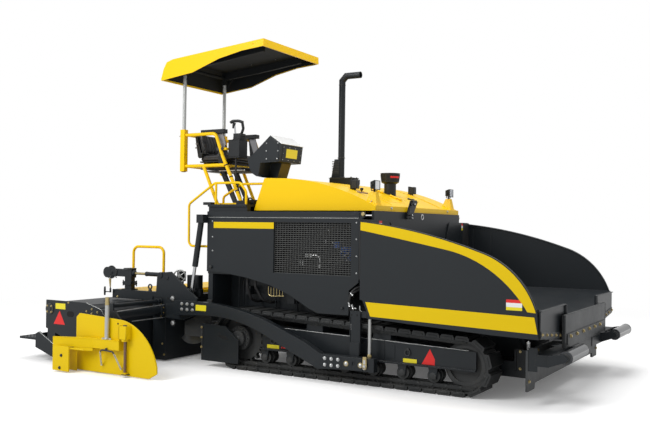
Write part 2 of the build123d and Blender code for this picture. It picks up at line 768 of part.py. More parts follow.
def wing_lug():
    """Plate under the wing's floor beside the rod's eye."""
    y, z = cyl_eye
    x = cyl_x + 25.0 + 0.5
    outline = [(y - 50.0, floor_z(y - 50.0) - 8), (y + 50.0, floor_z(y + 50.0) - 8), (y + 26.0, z - 20.0),
               (y - 26.0, z - 20.0)]
    return cross_plate(outline, x, x + 16.0)


left_wing = wing() + wing_lug()
for name, side in SIDES:
    save(f"wing_{name}", on_side(left_wing, side))
    save(f"wing_barrel_{name}", on_side(wing_barrel(), side))
    save(f"wing_rod_{name}", on_side(wing_rod(), side))
save("wing_hinge_pins", *pair(*wing_pins(), wing_cylinder_mount()))


# ---- hopper front: fixed apron, guard plate, push beam and rollers ---------------------------
guard_x = hopper_front_x
guard_thick = 20.0
guard_y = panel_y + 60.0
apron_x = 2795.0
apron_thick = 16.0
apron_y = 800.0
beam_x0, beam_x1 = 2680.0, 2800.0
beam_z0, beam_z1 = 340.0, 440.0


def guard():
    outline = [(-guard_y, 115.0), (-guard_y, 470.0), (guard_y, 470.0), (guard_y, 115.0), (1065.0, 115.0),
               (1045.0, 165.0), (-1045.0, 165.0), (-1065.0, 115.0)]
    return cross_plate(outline, guard_x, guard_x + guard_thick)


def apron():
    """Flap that closes the hopper's front between the two wings, on two arms."""
    plate = block(apron_x, apron_x + apron_thick, -apron_y, apron_y, 445.0, 742.0)
    plate += block(apron_x + apron_thick - 2, apron_x + apron_thick + 12.0, -apron_y + 60.0, apron_y - 60.0,
                   470.0, 570.0)
    for y in (-420.0, 420.0):
        plate += block(guard_x + guard_thick, apron_x + 2, y - 30.0, y + 30.0, 448.0, 468.0)
    return plate


def push_beam():
    beam = block(beam_x0, beam_x1, -guard_y, guard_y, beam_z0, beam_z1)
    for y in (-480.0, 480.0):
        beam += block(guard_x + guard_thick, beam_x0 + 2, y - 90.0, y + 90.0, beam_z0 + 10.0, beam_z1 - 10.0)
    for side in (1, -1):
        for y in (push_inner_y - 40.0, push_outer_y + 12.0):
            arm = side_plate([(beam_x1 - 2, beam_z0 + 4.0), (beam_x1 - 2, beam_z1),
                              (push_axis_x - 10, push_axis_z + 34.0),
                              (push_axis_x + 34.0, push_axis_z), (push_axis_x, push_axis_z - 34.0)],
                             side * y, side * (y + 26.0))
            beam += arm
        pin = round_bar((push_axis_x, side * (push_inner_y - 20), push_axis_z),
                        (push_axis_x, side * (push_outer_y + 20), push_axis_z), 18.0)
        beam += pin
    return beam


def push_roller():
    start = (push_axis_x, push_inner_y, push_axis_z)
    end = (push_axis_x, push_outer_y, push_axis_z)
    return round_bar(start, end, push_roller_r) - round_bar(start, end, 18.0 + pin_play)


save("hopper_front", guard() + apron())
save("push_beam", push_beam())
for name, side in SIDES:
    save(f"push_roller_{name}", on_side(push_roller(), side))


# ---- augers behind the tractor --------------------------------------------------------------
auger_in_y, auger_out_y = 130.0, panel_y - 20.3
auger_shaft_r = 45.0
auger_lead = 300.0
blade_sector = 15.0


def auger():
    length = auger_out_y - auger_in_y
    shaft = round_bar((auger_x, auger_in_y, auger_z), (auger_x, auger_out_y, auger_z), auger_shaft_r)
    half = radians(blade_sector / 2)
    inner = auger_shaft_r - 6.0
    plane = Plane(origin=(auger_x, auger_in_y + 20.0, auger_z), x_dir=(1, 0, 0), z_dir=(0, 1, 0))
    corners = [(inner * cos(half), -inner * sin(half)), (auger_r * cos(half), -auger_r * sin(half)),
               (auger_r * cos(half), auger_r * sin(half)), (inner * cos(half), inner * sin(half))]
    edges = [Line(corners[0], corners[1]), ThreePointArc(corners[1], (auger_r, 0), corners[2]),
             Line(corners[2], corners[3]), Line(corners[3], corners[0])]
    section = plane * make_face(Curve() + edges)
    run = length - 40.0
    blade = Solid.extrude_linear_with_rotation(section.face(), center=(auger_x, auger_in_y + 20.0, auger_z),
                                               normal=(0, run, 0), angle=360.0 * run / auger_lead)
    return shaft + blade


auger_mount_y = 96.0


def auger_frame():
    """Chain case in the middle and the outer bearing plates, carried by the hull's rear wall."""
    body = block(hull_back_x - 45.0, hull_back_x, -700.0, 700.0, 830.0, 960.0)
    case = side_plate([(hull_back_x - 40.0, 940.0), (hull_back_x - 40.0, 820.0), (auger_x + 150.0, 640.0),
                       (auger_x + 70.0, 260.0),
                       (auger_x - 70.0, 260.0), (auger_x - 100.0, 560.0), (auger_x + 60.0, 900.0)],
                      -auger_mount_y, auger_mount_y)
    body += case
    for side in (1, -1):
        body += round_bar((auger_x, side * (auger_mount_y - 2), auger_z),
                          (auger_x, side * (auger_in_y - 0.3), auger_z), 60.0)
    return body


hanger_thick = 16.0


def auger_hanger():
    """Outer bearing plate and the channel side that the deflector hangs on."""
    y0 = auger_out_y + 0.3
    y1 = y0 + hanger_thick
    outline = [(-940.0, 560.0), (-917.0, 700.0), (-857.0, 700.0), (-857.0, 560.0), (-875.0, 290.0),
               (auger_x - 60.0, 290.0),
               (auger_x - 60.0, 440.0)]
    return side_plate(outline, y0, y1)


for name, side in SIDES:
    save(f"auger_{name}", on_side(auger(), side))
save("auger_frame", auger_frame(), *pair(auger_hanger()))


# ---- material deflectors beside the tracks ------------------------------------------------------
deflector_y0 = track_y + shoe_width / 2 + track_clear
deflector_y1 = deflector_y0 + 16.0
deflector_x0, deflector_x1 = -920.0, -430.0


def deflector():
    """Plate that keeps the mix away from the track, pinned to the outer auger bearing plate."""
    plate = side_plate([(deflector_x0, 60.0), (deflector_x0, 450.0), (-600.0, 440.0), (deflector_x1, 300.0),
                        (deflector_x1, 60.0)],
                       deflector_y0, deflector_y1)
    outer = auger_out_y + 0.3 + hanger_thick
    for z in (300.0, 420.0):
        plate += block(-930.0, -890.0, outer, deflector_y0 + 1, z, z + 22.0)
    return plate


save("deflectors", *pair(deflector()))


# ---- tow points: fixed guides, sliding carriages ---------------------------------------------
guide_x0, guide_x1 = 896.0, 1010.0
guide_low_z, guide_top_z = 290.0, 700.0
guide_y0 = track_y + shoe_width / 2 + track_clear
guide_y1 = guide_y0 + 19.0
carriage_thick = 12.0
slide_play = 0.5
tow_rod_y = guide_y1 + 8.0
tow_rod_r = 15.0
tow_barrel_r = 30.0
tow_barrel_low_z, tow_barrel_top_z = 640.0, 900.0


def tow_guide():
    """Upright guide beside the track, its bracket from the track frame, and the tow cylinder's barrel."""
    rail = block(guide_x0, guide_x1, guide_y0, guide_y1, guide_low_z, guide_top_z)
    rail += block(guide_x0, guide_x1, track_y + frame_width / 2, guide_y0, guide_low_z + 10.0,
                  guide_low_z + 110.0)
    rail += block(guide_x1 - 2, tow_pin_x + 20.0, guide_y0 - 12.0, guide_y0 + 8.0, guide_top_z - 60.0,
                  guide_top_z)
    barrel = round_bar((tow_pin_x, tow_rod_y, tow_barrel_low_z), (tow_pin_x, tow_rod_y, tow_barrel_top_z),
                       tow_barrel_r)
    barrel -= round_bar((tow_pin_x, tow_rod_y, tow_barrel_low_z - 1),
                        (tow_pin_x, tow_rod_y, tow_barrel_top_z - 12.0),
                        tow_rod_r + pin_play)
    return rail + barrel


def tow_carriage():
    """Slide plate beside the guide with the tow pin and the chromed rod."""
    y0 = guide_y1 + slide_play
    plate = block(guide_x0 + 6.0, tow_pin_x + 45.0, y0, y0 + carriage_thick, tow_pin_z - 60.0,
                  tow_pin_z + 62.0)
    plate += block(guide_x0 + 6.0, guide_x1 - 6.0, y0, y0 + carriage_thick, tow_pin_z + 60.0,
                   tow_pin_z + 190.0)
    pin = round_bar((tow_pin_x, y0 + 2, tow_pin_z), (tow_pin_x, arm_y + arm_thick + 14.0, tow_pin_z), 28.0)
    plate += block(tow_pin_x - 20.0, tow_pin_x + 20.0, y0, y0 + carriage_thick, tow_pin_z + 60.0,
                   tow_pin_z + 110.0)
    rod = round_bar((tow_pin_x, tow_rod_y, tow_pin_z + 74.0), (tow_pin_x, tow_rod_y,
                                                               tow_barrel_low_z + 30.0), tow_rod_r)
    return plate + pin + rod


save("tow_guides", *pair(tow_guide()))
save("tow_carriages", *pair(tow_carriage()))


# ---- tow arms and the main screed -------------------------------------------------------------
arm_back_x = -1230.0
lift_eye = (-1110.0, 779.0)
lift_top = (-985.0, 1569.0)
lift_y = arm_y - 74.0
lift_barrel_r = 32.0
lift_barrel_reach = 525.0
lift_eye_half = 37.0
float_slot = 150.0          # lets the tow points rise without the lift cylinders


def tow_arm():
    """Cranked arm: level at the screed, sweeping down to the tow pin."""
    y0 = arm_y
    point = lambda x, z: (x, y0, z)
    edges = [Line(point(arm_back_x, 528.0), point(arm_back_x, 684.0)),
             Line(point(arm_back_x, 684.0), point(-800.0, 684.0)),
             ThreePointArc(point(-800.0, 684.0), point(-390.0, 639.0), point(-17.0, 547.0)),
             Line(point(-17.0, 547.0), point(440.0, 374.0)),
             Polyline(point(440.0, 374.0), point(629.0, 275.0), point(1206.0, 275.0), point(1206.0, 150.0),
                      point(900.0, 150.0), point(600.0, 130.0)),
             Line(point(600.0, 130.0), point(354.0, 233.0)),
             Line(point(354.0, 233.0), point(-14.0, 398.0)),
             ThreePointArc(point(-14.0, 398.0), point(-420.0, 522.0), point(-800.0, 549.0)),
             Line(point(-800.0, 549.0), point(arm_back_x, 528.0))]
    arm = extrude(make_face(Curve() + edges), amount=arm_thick, dir=(0, 1, 0))
    arm -= round_bar((tow_pin_x, y0 - 1, tow_pin_z), (tow_pin_x, y0 + arm_thick + 1, tow_pin_z),
                     28.0 + pin_play)
    return arm


screed_depth = 190.0
screed_low_z = 10.0
screed_box_z = 700.0
screed_back_x = screed_front_x - screed_depth
plate_thick = 15.0
guide_tube_x = -1500.0
guide_tube_z = 560.0
guide_tube_r = 54.0
thin_tube_r = 22.0
thin_tube_z = 655.0
tube_play = 0.4


def screed_box():
    """The main screed: a front wall, sole plate, cover and end plates, open behind."""
    body = block(screed_back_x, screed_front_x, -screed_y, screed_y, screed_low_z, screed_box_z)
    inside = screed_y - plate_thick
    body -= block(screed_back_x - 1, screed_front_x - plate_thick, -inside, inside,
                  screed_low_z + 22.0, screed_box_z - plate_thick)
    for radius, z in ((guide_tube_r, guide_tube_z), (thin_tube_r, thin_tube_z)):
        body -= round_bar((guide_tube_x, -screed_y - 1, z), (guide_tube_x, screed_y + 1, z),
                          radius + tube_play)
    return body


bracket_thick = 25.0
beam_low_z, beam_top_z = 655.0, 752.0
beam_back_x = -2220.0
beam_in_y = arm_y - 80.0


def screed_bracket():
    """End bracket: raked plate with the slotted lift lug, and the long beam that reaches back."""
    y0 = arm_y - bracket_thick
    front = [(-975.0, 712.0), (-1350.0, 985.0), (-1540.0, 965.0), (-1560.0, screed_box_z),
             (screed_front_x, screed_box_z),
             (screed_front_x, 480.0), (-1180.0, 470.0), (-975.0, 540.0)]
    body = side_plate(front, y0, arm_y)
    body += side_plate([(-1540.0, screed_box_z), (-1540.0, beam_top_z), (beam_back_x, beam_top_z),
                        (beam_back_x, beam_low_z),
                        (screed_back_x - 5.0, beam_low_z), (screed_back_x - 1.0, screed_box_z)], beam_in_y,
                       arm_y)
    x, z = lift_eye
    lug_y = lift_y + lift_eye_half + slide_play
    lug = side_plate([(x - 44.0, z - float_slot - 30.0), (x + 44.0, z - float_slot - 30.0),
                      (x + 36.0, z + 34.0), (x - 36.0, z + 34.0)],
                     lug_y, y0 + 1)
    slot = block(x - 13.0, x + 13.0, lug_y - 1, y0, z - float_slot, z)
    for end_z in (z - float_slot, z):
        slot += round_bar((x, lug_y - 1, end_z), (x, y0, end_z), 13.0)
    return body + (lug - slot)


deck_back_x = beam_back_x + 5.0
deck_nose_x = screed_back_x + 45.0
deck_play = 5.0
tread_thick = 22.0


def screed_deck():
    """Walkway on the screed's cover, between the two long beams."""
    reach = beam_in_y - deck_play
    plate = block(deck_back_x, screed_back_x + 5.0, -reach, reach, beam_top_z - tread_thick, beam_top_z)
    return plate + block(screed_back_x, deck_nose_x, -reach, reach, screed_box_z,
                         beam_top_z - tread_thick + 2.0)


screed_rail_y = beam_in_y - 220.0
screed_rail_r = 16.0
screed_rail_height = 488.0
screed_rail_xs = (deck_back_x + 25.0, deck_back_x + 495.0)


def screed_rail():
    """Hoop rail that stands on the walkway."""
    back, front = screed_rail_xs
    y, low, top = screed_rail_y, beam_top_z, beam_top_z + screed_rail_height
    return bent_tube([(back, y, low), (back, y, top), (front, y, top), (front, y, low)], screed_rail_r, 75.0)


jack_z = beam_top_z + 190.0
jack_half = 42.5
jack_back_x, jack_front_x = beam_back_x - 110.0, beam_back_x + 265.0
buckle_back_x, buckle_front_x = -1762.0, -1541.0
chain_wheel_r = 62.0


def jack():
    """Screed height jack: square tube with a chain wheel, post and turnbuckle to the upright."""
    y0, y1 = arm_y - 90.0, arm_y - 30.0
    mid, z = (y0 + y1) / 2, jack_z
    body = block(jack_back_x, jack_front_x, y0, y1, z - jack_half, z + jack_half)
    body += block(jack_front_x - 105.0, jack_front_x - 5.0, y0, y1, beam_top_z, z - jack_half + 2.0)
    body += round_bar((jack_front_x - 2.0, mid, z), (buckle_back_x + 2.0, mid, z), 13.0)
    body += round_bar((buckle_back_x, mid, z), (buckle_front_x, mid, z), 24.0)
    body += round_bar((jack_back_x, y1 + 12.0, z), (jack_back_x, y1 - 2, z), chain_wheel_r)
    return body + block(buckle_front_x - 0.5, buckle_front_x + 61.0, mid - 20.0, arm_y - bracket_thick,
                        z - 27.0, z + 13.0)


save("tow_arms", *pair(tow_arm()))
save("screed_box", screed_box())
save("screed_brackets", *pair(screed_bracket()))
save("screed_deck", screed_deck())
save("screed_rails", *pair(screed_rail()))
save("height_jacks", *pair(jack()))


# ---- screed extensions on their guide tubes ----------------------------------------------------
extension_end_y = arm_y + 750.0
extension_in_y = 870.0
extension_plate = 20.0
tube_in_y = 900.0


step_y0 = 1010.0
step_sheet = 12.0
step_front_x = -2281.0
step_tread_z = 219.0
tread_reach = 12.0


def extension_step():
    """Walkway hung behind an extension: a sloping tray and a tread plate."""
    back, front = step_front_x - 331.0, step_front_x
    low, high, top = step_tread_z - 178.0, step_tread_z - 78.0, step_tread_z + 71.0
    side_outline = [(back, top), (back + 55.0, top + 25.0), (front - 3.0, low + 137.0), (front, low),
                    (back + 3.0, high)]
    floor = [(back + 3.0, high), (front, low), (front, low + step_sheet), (back + 3.0, high + step_sheet)]
    kick = [(front - 3.0 - step_sheet, low + 9.0), (front, low + 4.0), (front - 3.0, low + 137.0),
            (front - 3.0 - step_sheet, low + 143.0)]
    body = side_plate(floor, step_y0, extension_end_y) + side_plate(kick, step_y0, extension_end_y)
    body += block(step_back_x, back + tread_reach, step_y0, extension_end_y, step_tread_z,
                  step_tread_z + 26.0)
    body += block(back, back + step_sheet, step_y0, extension_end_y, high, top)
    for y in (step_y0, 1500.0, extension_end_y - extension_plate):
        body += side_plate(side_outline, y, y + extension_plate)
        body += side_plate([(-2420.0, 200.0), (-2420.0, 380.0), (-2300.0, 340.0), (-2300.0, 150.0)], y,
                           y + extension_plate)
    return body


def extension():
    """Extension unit: casing with a rolled cover, end plate and the two guide tubes."""
    y_end = extension_end_y
    case = side_plate([(-2440.0, 368.0), (-2440.0, 636.0), (-1850.0, 640.0), (-1700.0, 585.0),
                       (-1640.0, 520.0), (-1640.0, 30.0),
                       (-1990.0, 30.0), (-1990.0, 265.0), (-2127.0, 265.0), (-2380.0, 350.0)],
                      extension_in_y, y_end - extension_plate)
    end = side_plate([(-2449.0, 368.0), (-2449.0, 669.0), (-1836.0, 670.0), (-1623.0, 612.0),
                      (-1420.0, 612.0), (-1340.0, 520.0),
                      (-1340.0, 120.0), (-1620.0, 30.0), (-1900.0, 30.0), (-1989.0, 265.0), (-2127.0, 265.0),
                      (-2385.0, 350.0)],
                     y_end - extension_plate, y_end)
    body = case + end
    body += round_bar((guide_tube_x, tube_in_y, guide_tube_z), (guide_tube_x, y_end - 1, guide_tube_z),
                      guide_tube_r)
    body += round_bar((guide_tube_x, tube_in_y, thin_tube_z), (guide_tube_x, y_end - 1, thin_tube_z),
                      thin_tube_r)
    body += block(guide_tube_x - 50.0, guide_tube_x + 50.0, y_end - extension_plate, y_end, 600.0,
                  thin_tube_z + 30.0)
    for x in (-1700.0, -1400.0):
        body += block(x, x + 60.0, y_end, gate_y - slide_play, 200.0, 480.0)
    return body + extension_step()


gate_y = extension_end_y + 145.0
gate_thick = 15.0


def end_gate():
    """Edge plate with a rounded nose, its outer bracket, crank post and spring tube."""
    y0 = gate_y
    point = lambda x, z: (x, y0, z)
    edges = [Polyline(point(-800.0, 6.0), point(-1800.0, 6.0), point(-1800.0, 540.0), point(-1755.0, 581.0),
                      point(-1165.0, 549.0)),
             ThreePointArc(point(-1165.0, 549.0), point(-880.0, 415.0), point(-700.0, 122.0)),
             Polyline(point(-700.0, 122.0), point(-700.0, 60.0), point(-800.0, 6.0))]
    gate = extrude(make_face(Curve() + edges), amount=gate_thick, dir=(0, 1, 0))
    face = y0 + gate_thick
    gate += block(-1500.0, -1140.0, face - 1, face + 60.0, 255.0, 350.0)
    outer = gate_y + 190.0
    brace = [(-1500.0, face - 1), (-1930.0, outer), (-1930.0, outer + 15.0), (-1500.0, face + 60.0)]
    gate += extrude(make_face(Polyline(*[(x, y, 255.0) for x, y in brace], close=True)), amount=95.0,
                    dir=(0, 0, 1))
    gate += block(-1930.0, -1700.0, outer, outer + 15.0, 12.0, 262.0)
    gate += round_bar((-1340.0, face + 25.0, 345.0), (-1340.0, face + 25.0, 765.0), 20.0)
    gate += round_bar((-1085.0, face + 34.0, 350.0), (-1085.0, face + 34.0, 500.0), 34.0)
    gate += block(-1100.0, -1070.0, face - 1, face + 12.0, 30.0, 500.0)
    gate += round_bar((-1085.0, face + 30.0, 40.0), (-1085.0, face + 30.0, 352.0), 12.0)
    return gate + block(-1110.0, -1060.0, face - 1, face + 50.0, 28.0, 42.0)


for name, side in SIDES:
    save(f"extension_{name}", on_side(extension(), side))
    save(f"end_gate_{name}", on_side(end_gate(), side))


# ---- screed lift cylinders behind the tractor ---------------------------------------------------
lift_cheek = 14.0


def lift_barrel():
    base, eye = (lift_top[0], lift_y, lift_top[1]), (lift_eye[0], lift_y, lift_eye[1])
    body = round_bar(base, along(base, eye, lift_barrel_reach), lift_barrel_r)
    body -= round_bar(along(base, eye, 40.0), along(base, eye, lift_barrel_reach + 1), rod_r + pin_play)
    body += round_bar((base[0], lift_y - lift_eye_half, base[2]), (base[0], lift_y + lift_eye_half, base[2]),
                      eye_r + 6.0)
    return body - round_bar((base[0], lift_y - 40, base[2]), (base[0], lift_y + 40, base[2]),
                            cyl_pin_r + pin_play)


def lift_rod():
    base, eye = (lift_top[0], lift_y, lift_top[1]), (lift_eye[0], lift_y, lift_eye[1])
    body = cylinder_rod(base, eye, lift_barrel_reach)
    return body + round_bar((eye[0], lift_y - lift_eye_half, eye[2]),
                            (eye[0], lift_y + lift_eye_half, eye[2]), eye_r)


def lift_mount():
    """Fork on the body frame's rear post that holds the barrel's pin."""
    x, z = lift_top
    cheek = lift_eye_half + 1.0
    body = round_bar((x, lift_y - cheek - 1, z), (x, lift_y + cheek + 1, z), cyl_pin_r)
    for y in (lift_y - cheek - lift_cheek, lift_y + cheek):
        body += block(x - 30.0, panel_back_x, y, y + lift_cheek, z - 45.0, z + 45.0)
    return body + block(panel_back_x - 18.0, panel_back_x, panel_y - 90.0, lift_y + cheek + lift_cheek,
                        z - 45.0, z + 45.0)


save("body_frame", *pair(body_frame() + lift_mount()))
for name, side in SIDES:
    save(f"lift_barrel_{name}", on_side(lift_barrel(), side))
    save(f"lift_rod_{name}", on_side(lift_rod(), side))


# ---- exhaust, air intake and lamps on the hood ------------------------------------------------
exhaust_x, exhaust_y = 41.0, 0.0
exhaust_r = 37.0
exhaust_wall = 3.0
exhaust_elbow_z = 3172.0
elbow_run = 53.0            # the elbow's slanted piece, along X and Z alike
exhaust_outlet_x = 280.0
exhaust_box = (-70.0, 225.0, -75.0, 75.0)
exhaust_box_top = 62.0      # above the hood's crest
flap_thick = 10.0
intake_x, intake_y = 667.0, 0.0
intake_neck_r, intake_neck_top = 66.0, 1985.0
intake_drum_r, intake_foot_r = 107.0, 96.0
intake_drum_z, intake_drum_top = 1998.0, 2092.0


def exhaust():
    """Tall pipe with a mitred elbow on its box, and the rain flap leaning beside it."""
    base_z = hood_crest_mid[1]
    outlet_z = exhaust_elbow_z + elbow_run
    path = Polyline((exhaust_x, exhaust_y, base_z + exhaust_box_top - 2),
                    (exhaust_x, exhaust_y, exhaust_elbow_z),
                    (exhaust_x + elbow_run, exhaust_y, outlet_z), (exhaust_outlet_x, exhaust_y, outlet_z))
    start = Plane(origin=path @ 0, z_dir=path % 0)
    pipe = sweep(start * Circle(exhaust_r), path=path, transition=Transition.RIGHT)
    pipe -= round_bar((exhaust_x + elbow_run + exhaust_r, exhaust_y, outlet_z),
                      (exhaust_outlet_x + 1.0, exhaust_y, outlet_z),
                      exhaust_r - exhaust_wall)
    pipe += block(*exhaust_box, base_z - 60.0, base_z + exhaust_box_top)
    top = base_z + exhaust_box_top
    flap = side_plate([(-64.0, top - 2), (46.0, top - 2), (46.0, top + 215.0), (-22.0, top + 215.0)],
                      exhaust_y - exhaust_r - flap_thick, exhaust_y - exhaust_r + 2.0)
    return pipe + flap - hood_seat


def intake():
    """Pre-cleaner: a drum that widens upwards, on a short neck."""
    z = slope_z(intake_x) - 60.0
    neck = Pos(intake_x, intake_y, (z + intake_neck_top) / 2) * Cylinder(intake_neck_r, intake_neck_top - z)
    skirt_height = intake_drum_z - intake_neck_top + 1.0
    skirt = Pos(intake_x, intake_y, intake_drum_z - skirt_height / 2) * Cone(intake_neck_r + 6.0,
                                                                             intake_foot_r, skirt_height)
    height = intake_drum_top - intake_drum_z
    drum = Pos(intake_x, intake_y, intake_drum_z + height / 2) * Cone(intake_foot_r, intake_drum_r, height)
    lid = Pos(intake_x, intake_y, intake_drum_top + 4.0) * Cone(intake_drum_r, intake_drum_r - 8.0, 8.0)
    return neck + skirt + drum + lid - hood_seat


save("exhaust", exhaust())
save("air_intake", intake())
save("work_lamps", *pair(work_lamp()))


# ---- operator's station on the right-hand side of the deck -------------------------------------
station_y0 = 150.0 - panel_y
station_y1 = station_y0 + 720.0
station_mid_y = (station_y0 + station_y1) / 2
tube_r = 19.0
post_x = -1400.0
sleeve_half = 30.0
post_half = 24.0
sleeve_low_z, sleeve_top_z = 2100.0, 2570.0
foot_z = deck_z + 14.0
station_low_z, station_top_z = 2158.0, 2508.0     # lower and upper side tubes
seat_plate_z = 2162.0
box_arm_z = 2335.0


def station_side(y):
    """One side of the station: foot plate, two raked legs, top and bottom rails, post sleeve."""
    front_leg = bent_tube([(-582.0, y, foot_z), (-850.0, y, 2258.0), (-950.0, y, station_top_z),
                           (post_x, y, station_top_z)],
                          tube_r, 70.0)
    lower = round_bar((post_x, y, station_low_z), (-815.0, y, station_low_z), tube_r)
    rear_leg = round_bar((-1115.0, y, station_low_z), (-915.0, y, foot_z), tube_r)
    foot = block(-893.0, -569.0, y - 45.0, y + 45.0, deck_z, foot_z + 4.0)
    rear_leg &= block(-1300.0, 0.0, y - 60.0, y + 60.0, deck_z + 2.0, station_low_z + 12.0)
    front_leg &= block(-1500.0, 0.0, y - 60.0, y + 60.0, deck_z + 2.0, station_top_z + 92.0)
    sleeve = block(post_x - sleeve_half, post_x + sleeve_half, y - sleeve_half, y + sleeve_half,
                   sleeve_low_z, sleeve_top_z)
    bore = post_half + slide_play
    side = front_leg + lower + rear_leg + foot + sleeve
    return side - block(post_x - bore, post_x + bore, y - bore, y + bore, sleeve_low_z - 1, sleeve_top_z + 1)


def station():
    frame = station_side(station_y0) + station_side(station_y1)
    back_tube_x = post_x + sleeve_half + 16.0
    for x, z in ((back_tube_x, station_low_z), (-850.0, station_low_z), (back_tube_x, station_top_z)):
        frame += round_bar((x, station_y0, z), (x, station_y1, z), tube_r * 0.9)
    frame += block(-893.0, control_x0, station_y0 - 10.0, control_y0 + 15.0, box_arm_z - 12.0,
                   box_arm_z + 12.0)
    return frame + block(post_x + 60.0, -830.0, station_y0 + 10.0, station_y1 - 10.0, seat_plate_z - 12.0,
                         seat_plate_z)


roof_skin = 10.0
roof_front, roof_rear = (-196.0, 3438.0), (-1423.0, 3335.0)
roof_ceiling = [(roof_front[0], roof_front[1] - roof_skin), (roof_rear[0], roof_rear[1] - roof_skin),
                (roof_rear[0], roof_front[1] + 62.0), (roof_front[0], roof_front[1] + 62.0)]
roof_arm = [(-900.0, -153.0), (-320.0, -88.0), (-320.0, 22.0)]      # x, height against the roof's front edge


def canopy():
    """Roof shell: long gentle top, rounded back, side skirts that deepen to the rear."""
    y0, y1 = station_mid_y - 545.0, station_mid_y + 545.0
    skin = roof_skin
    skirt = [(-1588.0, -328.0), (-1140.0, -274.0), (-778.0, -157.0), (-475.0, -101.0), (-192.0, -78.0)]
    top = [roof_front, roof_rear, (-1510.0, 3308.0), (-1553.0, 3239.0), (-1588.0, 3130.0)]
    low = [(x, roof_front[1] + drop) for x, drop in skirt]
    outer = side_plate(top + low, y0, y1)
    slope = (roof_front[1] - roof_rear[1]) / (roof_front[0] - roof_rear[0])
    inner_top = [(roof_front[0] - skin, roof_front[1] - skin - skin * slope),
                 (roof_rear[0], roof_rear[1] - skin),
                 (-1500.0, 3302.0), (-1543.0, 3236.0), (-1576.0, 3130.0)]
    inner = side_plate(inner_top + [(-1576.0, 3000.0), (roof_front[0] - skin, 3000.0)], y0 + skin, y1 - skin)
    shell = outer - inner
    return shell


def canopy_frame():
    """Telescoping posts with the cross tubes that the roof is bolted to."""
    frame = None
    datum = roof_front[1]
    arm_outline = [(post_x - 20.0, datum - 78.0), (post_x - 20.0, datum - 198.0)]
    arm_outline += [(x, datum + drop) for x, drop in roof_arm]
    for y in (station_y0, station_y1):
        bar = block(post_x - post_half, post_x + post_half, y - post_half, y + post_half, 2130.0,
                    datum - 148.0)
        arm = side_plate(arm_outline, y - 20.0, y + 20.0)
        frame = bar + arm if frame is None else frame + bar + arm
    frame -= side_plate(roof_ceiling, station_y0 - 60.0, station_y0 + 840.0)
    tie_z = datum - 176.0
    return frame + round_bar((post_x, station_y0, tie_z), (post_x, station_y1, tie_z), 18.0)


seat_front_x, seat_back_x = -800.0, -1290.0
seat_y0, seat_y1 = station_mid_y - 240.0, station_mid_y + 240.0


def seat_cushion():
    return block(seat_back_x, seat_front_x, seat_y0, seat_y1, 2215.0, 2300.0)


def seat_back():
    back = side_plate([(seat_back_x - 5.0, 2300.0), (seat_back_x + 95.0, 2300.0),
                       (seat_back_x + 20.0, 2600.0), (seat_back_x - 60.0, 2600.0)],
                      seat_y0 + 10.0, seat_y1 - 10.0)
    return back


def seat_base():
    return block(seat_back_x + 30.0, seat_front_x - 85.0, seat_y0 + 60.0, seat_y1 - 60.0, 2162.0, 2215.0)


console_y0, console_y1 = station_mid_y - 330.0, station_mid_y + 150.0
recess_x0, recess_x1 = -371.0, -66.0
recess_z0, recess_z1 = 2042.0, 2190.0
recess_depth = 200.0


def console():
    """Wedge housing of the dash with an open shelf low on its side, on a pedestal at the hood's back."""
    shape = [(-534.0, 2222.0), (-246.0, 2458.0), (169.0, 2328.0), (128.0, 2154.0), (10.0, 2154.0),
             (-34.0, 2012.0),
             (-400.0, 2012.0), (-478.0, 2046.0), (-522.0, 2102.0), (-543.0, 2168.0)]
    stand = block(-270.0, -95.0, console_y0 + 80.0, console_y1 - 80.0, 1990.0, 2014.0) - hood_seat
    housing = side_plate(shape, console_y0, console_y1)
    housing -= block(recess_x0, recess_x1, console_y0 - 1, console_y0 + recess_depth, recess_z0, recess_z1)
    return housing + stand


control_x0, control_x1 = -792.0, -640.0
control_y0, control_y1 = station_y0 + 25.0, station_y0 + 165.0
control_z0, control_z1 = 2236.0, 2432.0
pad_low_z, pad_top_z = 2514.0, 2558.0
pad_x0, pad_x1 = -1180.0, -860.0
pad_half = 36.0


def control_box():
    """Control box beside the seat with the raised joystick block on it."""
    box = block(control_x0, control_x1, control_y0, control_y1, control_z0, control_z1)
    return box + block(control_x0 + 50.0, control_x1 - 10.0, control_y0 + 20.0, control_y1 - 20.0,
                       control_z1 - 1, control_z1 + 70.0)


def armrest(y):
    """A pad on a slanted plate from the station's cross plate."""
    pad = block(pad_x0, pad_x1, y - pad_half, y + pad_half, pad_low_z, pad_top_z)
    plate = side_plate([(-985.0, pad_low_z + 2), (-895.0, pad_low_z + 2), (-855.0, 2350.0),
                        (-872.0, seat_plate_z), (-945.0, seat_plate_z)],
                       y - 5.0, y + 5.0)
    return pad + plate


save("station_frame", station())
save("canopy", canopy())
save("canopy_frame", canopy_frame())
save("seat_cushion", seat_cushion())
save("seat_back", seat_back())
save("seat_base", seat_base())
save("console", console())
hose_r = 15.0
cable_r = 11.0
cable_y = control_y0 + 35.0
cable_x = control_x0 + 80.0
hose_top_z = hull_top_z - floor_thick
hose_foot_z = 690.0


def control_cable():
    """Cable sleeve from the control box down beside the station's leg to the deck."""
    foot_x = cable_x + 72.0
    return bent_tube([(cable_x, cable_y, control_z0), (cable_x, cable_y, 1990.0), (foot_x, cable_y, 1800.0),
                      (foot_x, cable_y, deck_z)],
                     cable_r, 80.0)


def drive_hose(x, drift):
    """Hose from the body's floor down and in to the track drive on the hull's side."""
    out_y = track_y
    return bent_tube([(x, out_y, hose_top_z), (x, out_y, 860.0),
                      (x + drift / 2, out_y - 60.0, hose_foot_z + 30.0),
                      (x + drift, out_y - 150.0, hose_foot_z), (x + drift, hull_y, hose_foot_z)], hose_r,
                     60.0)


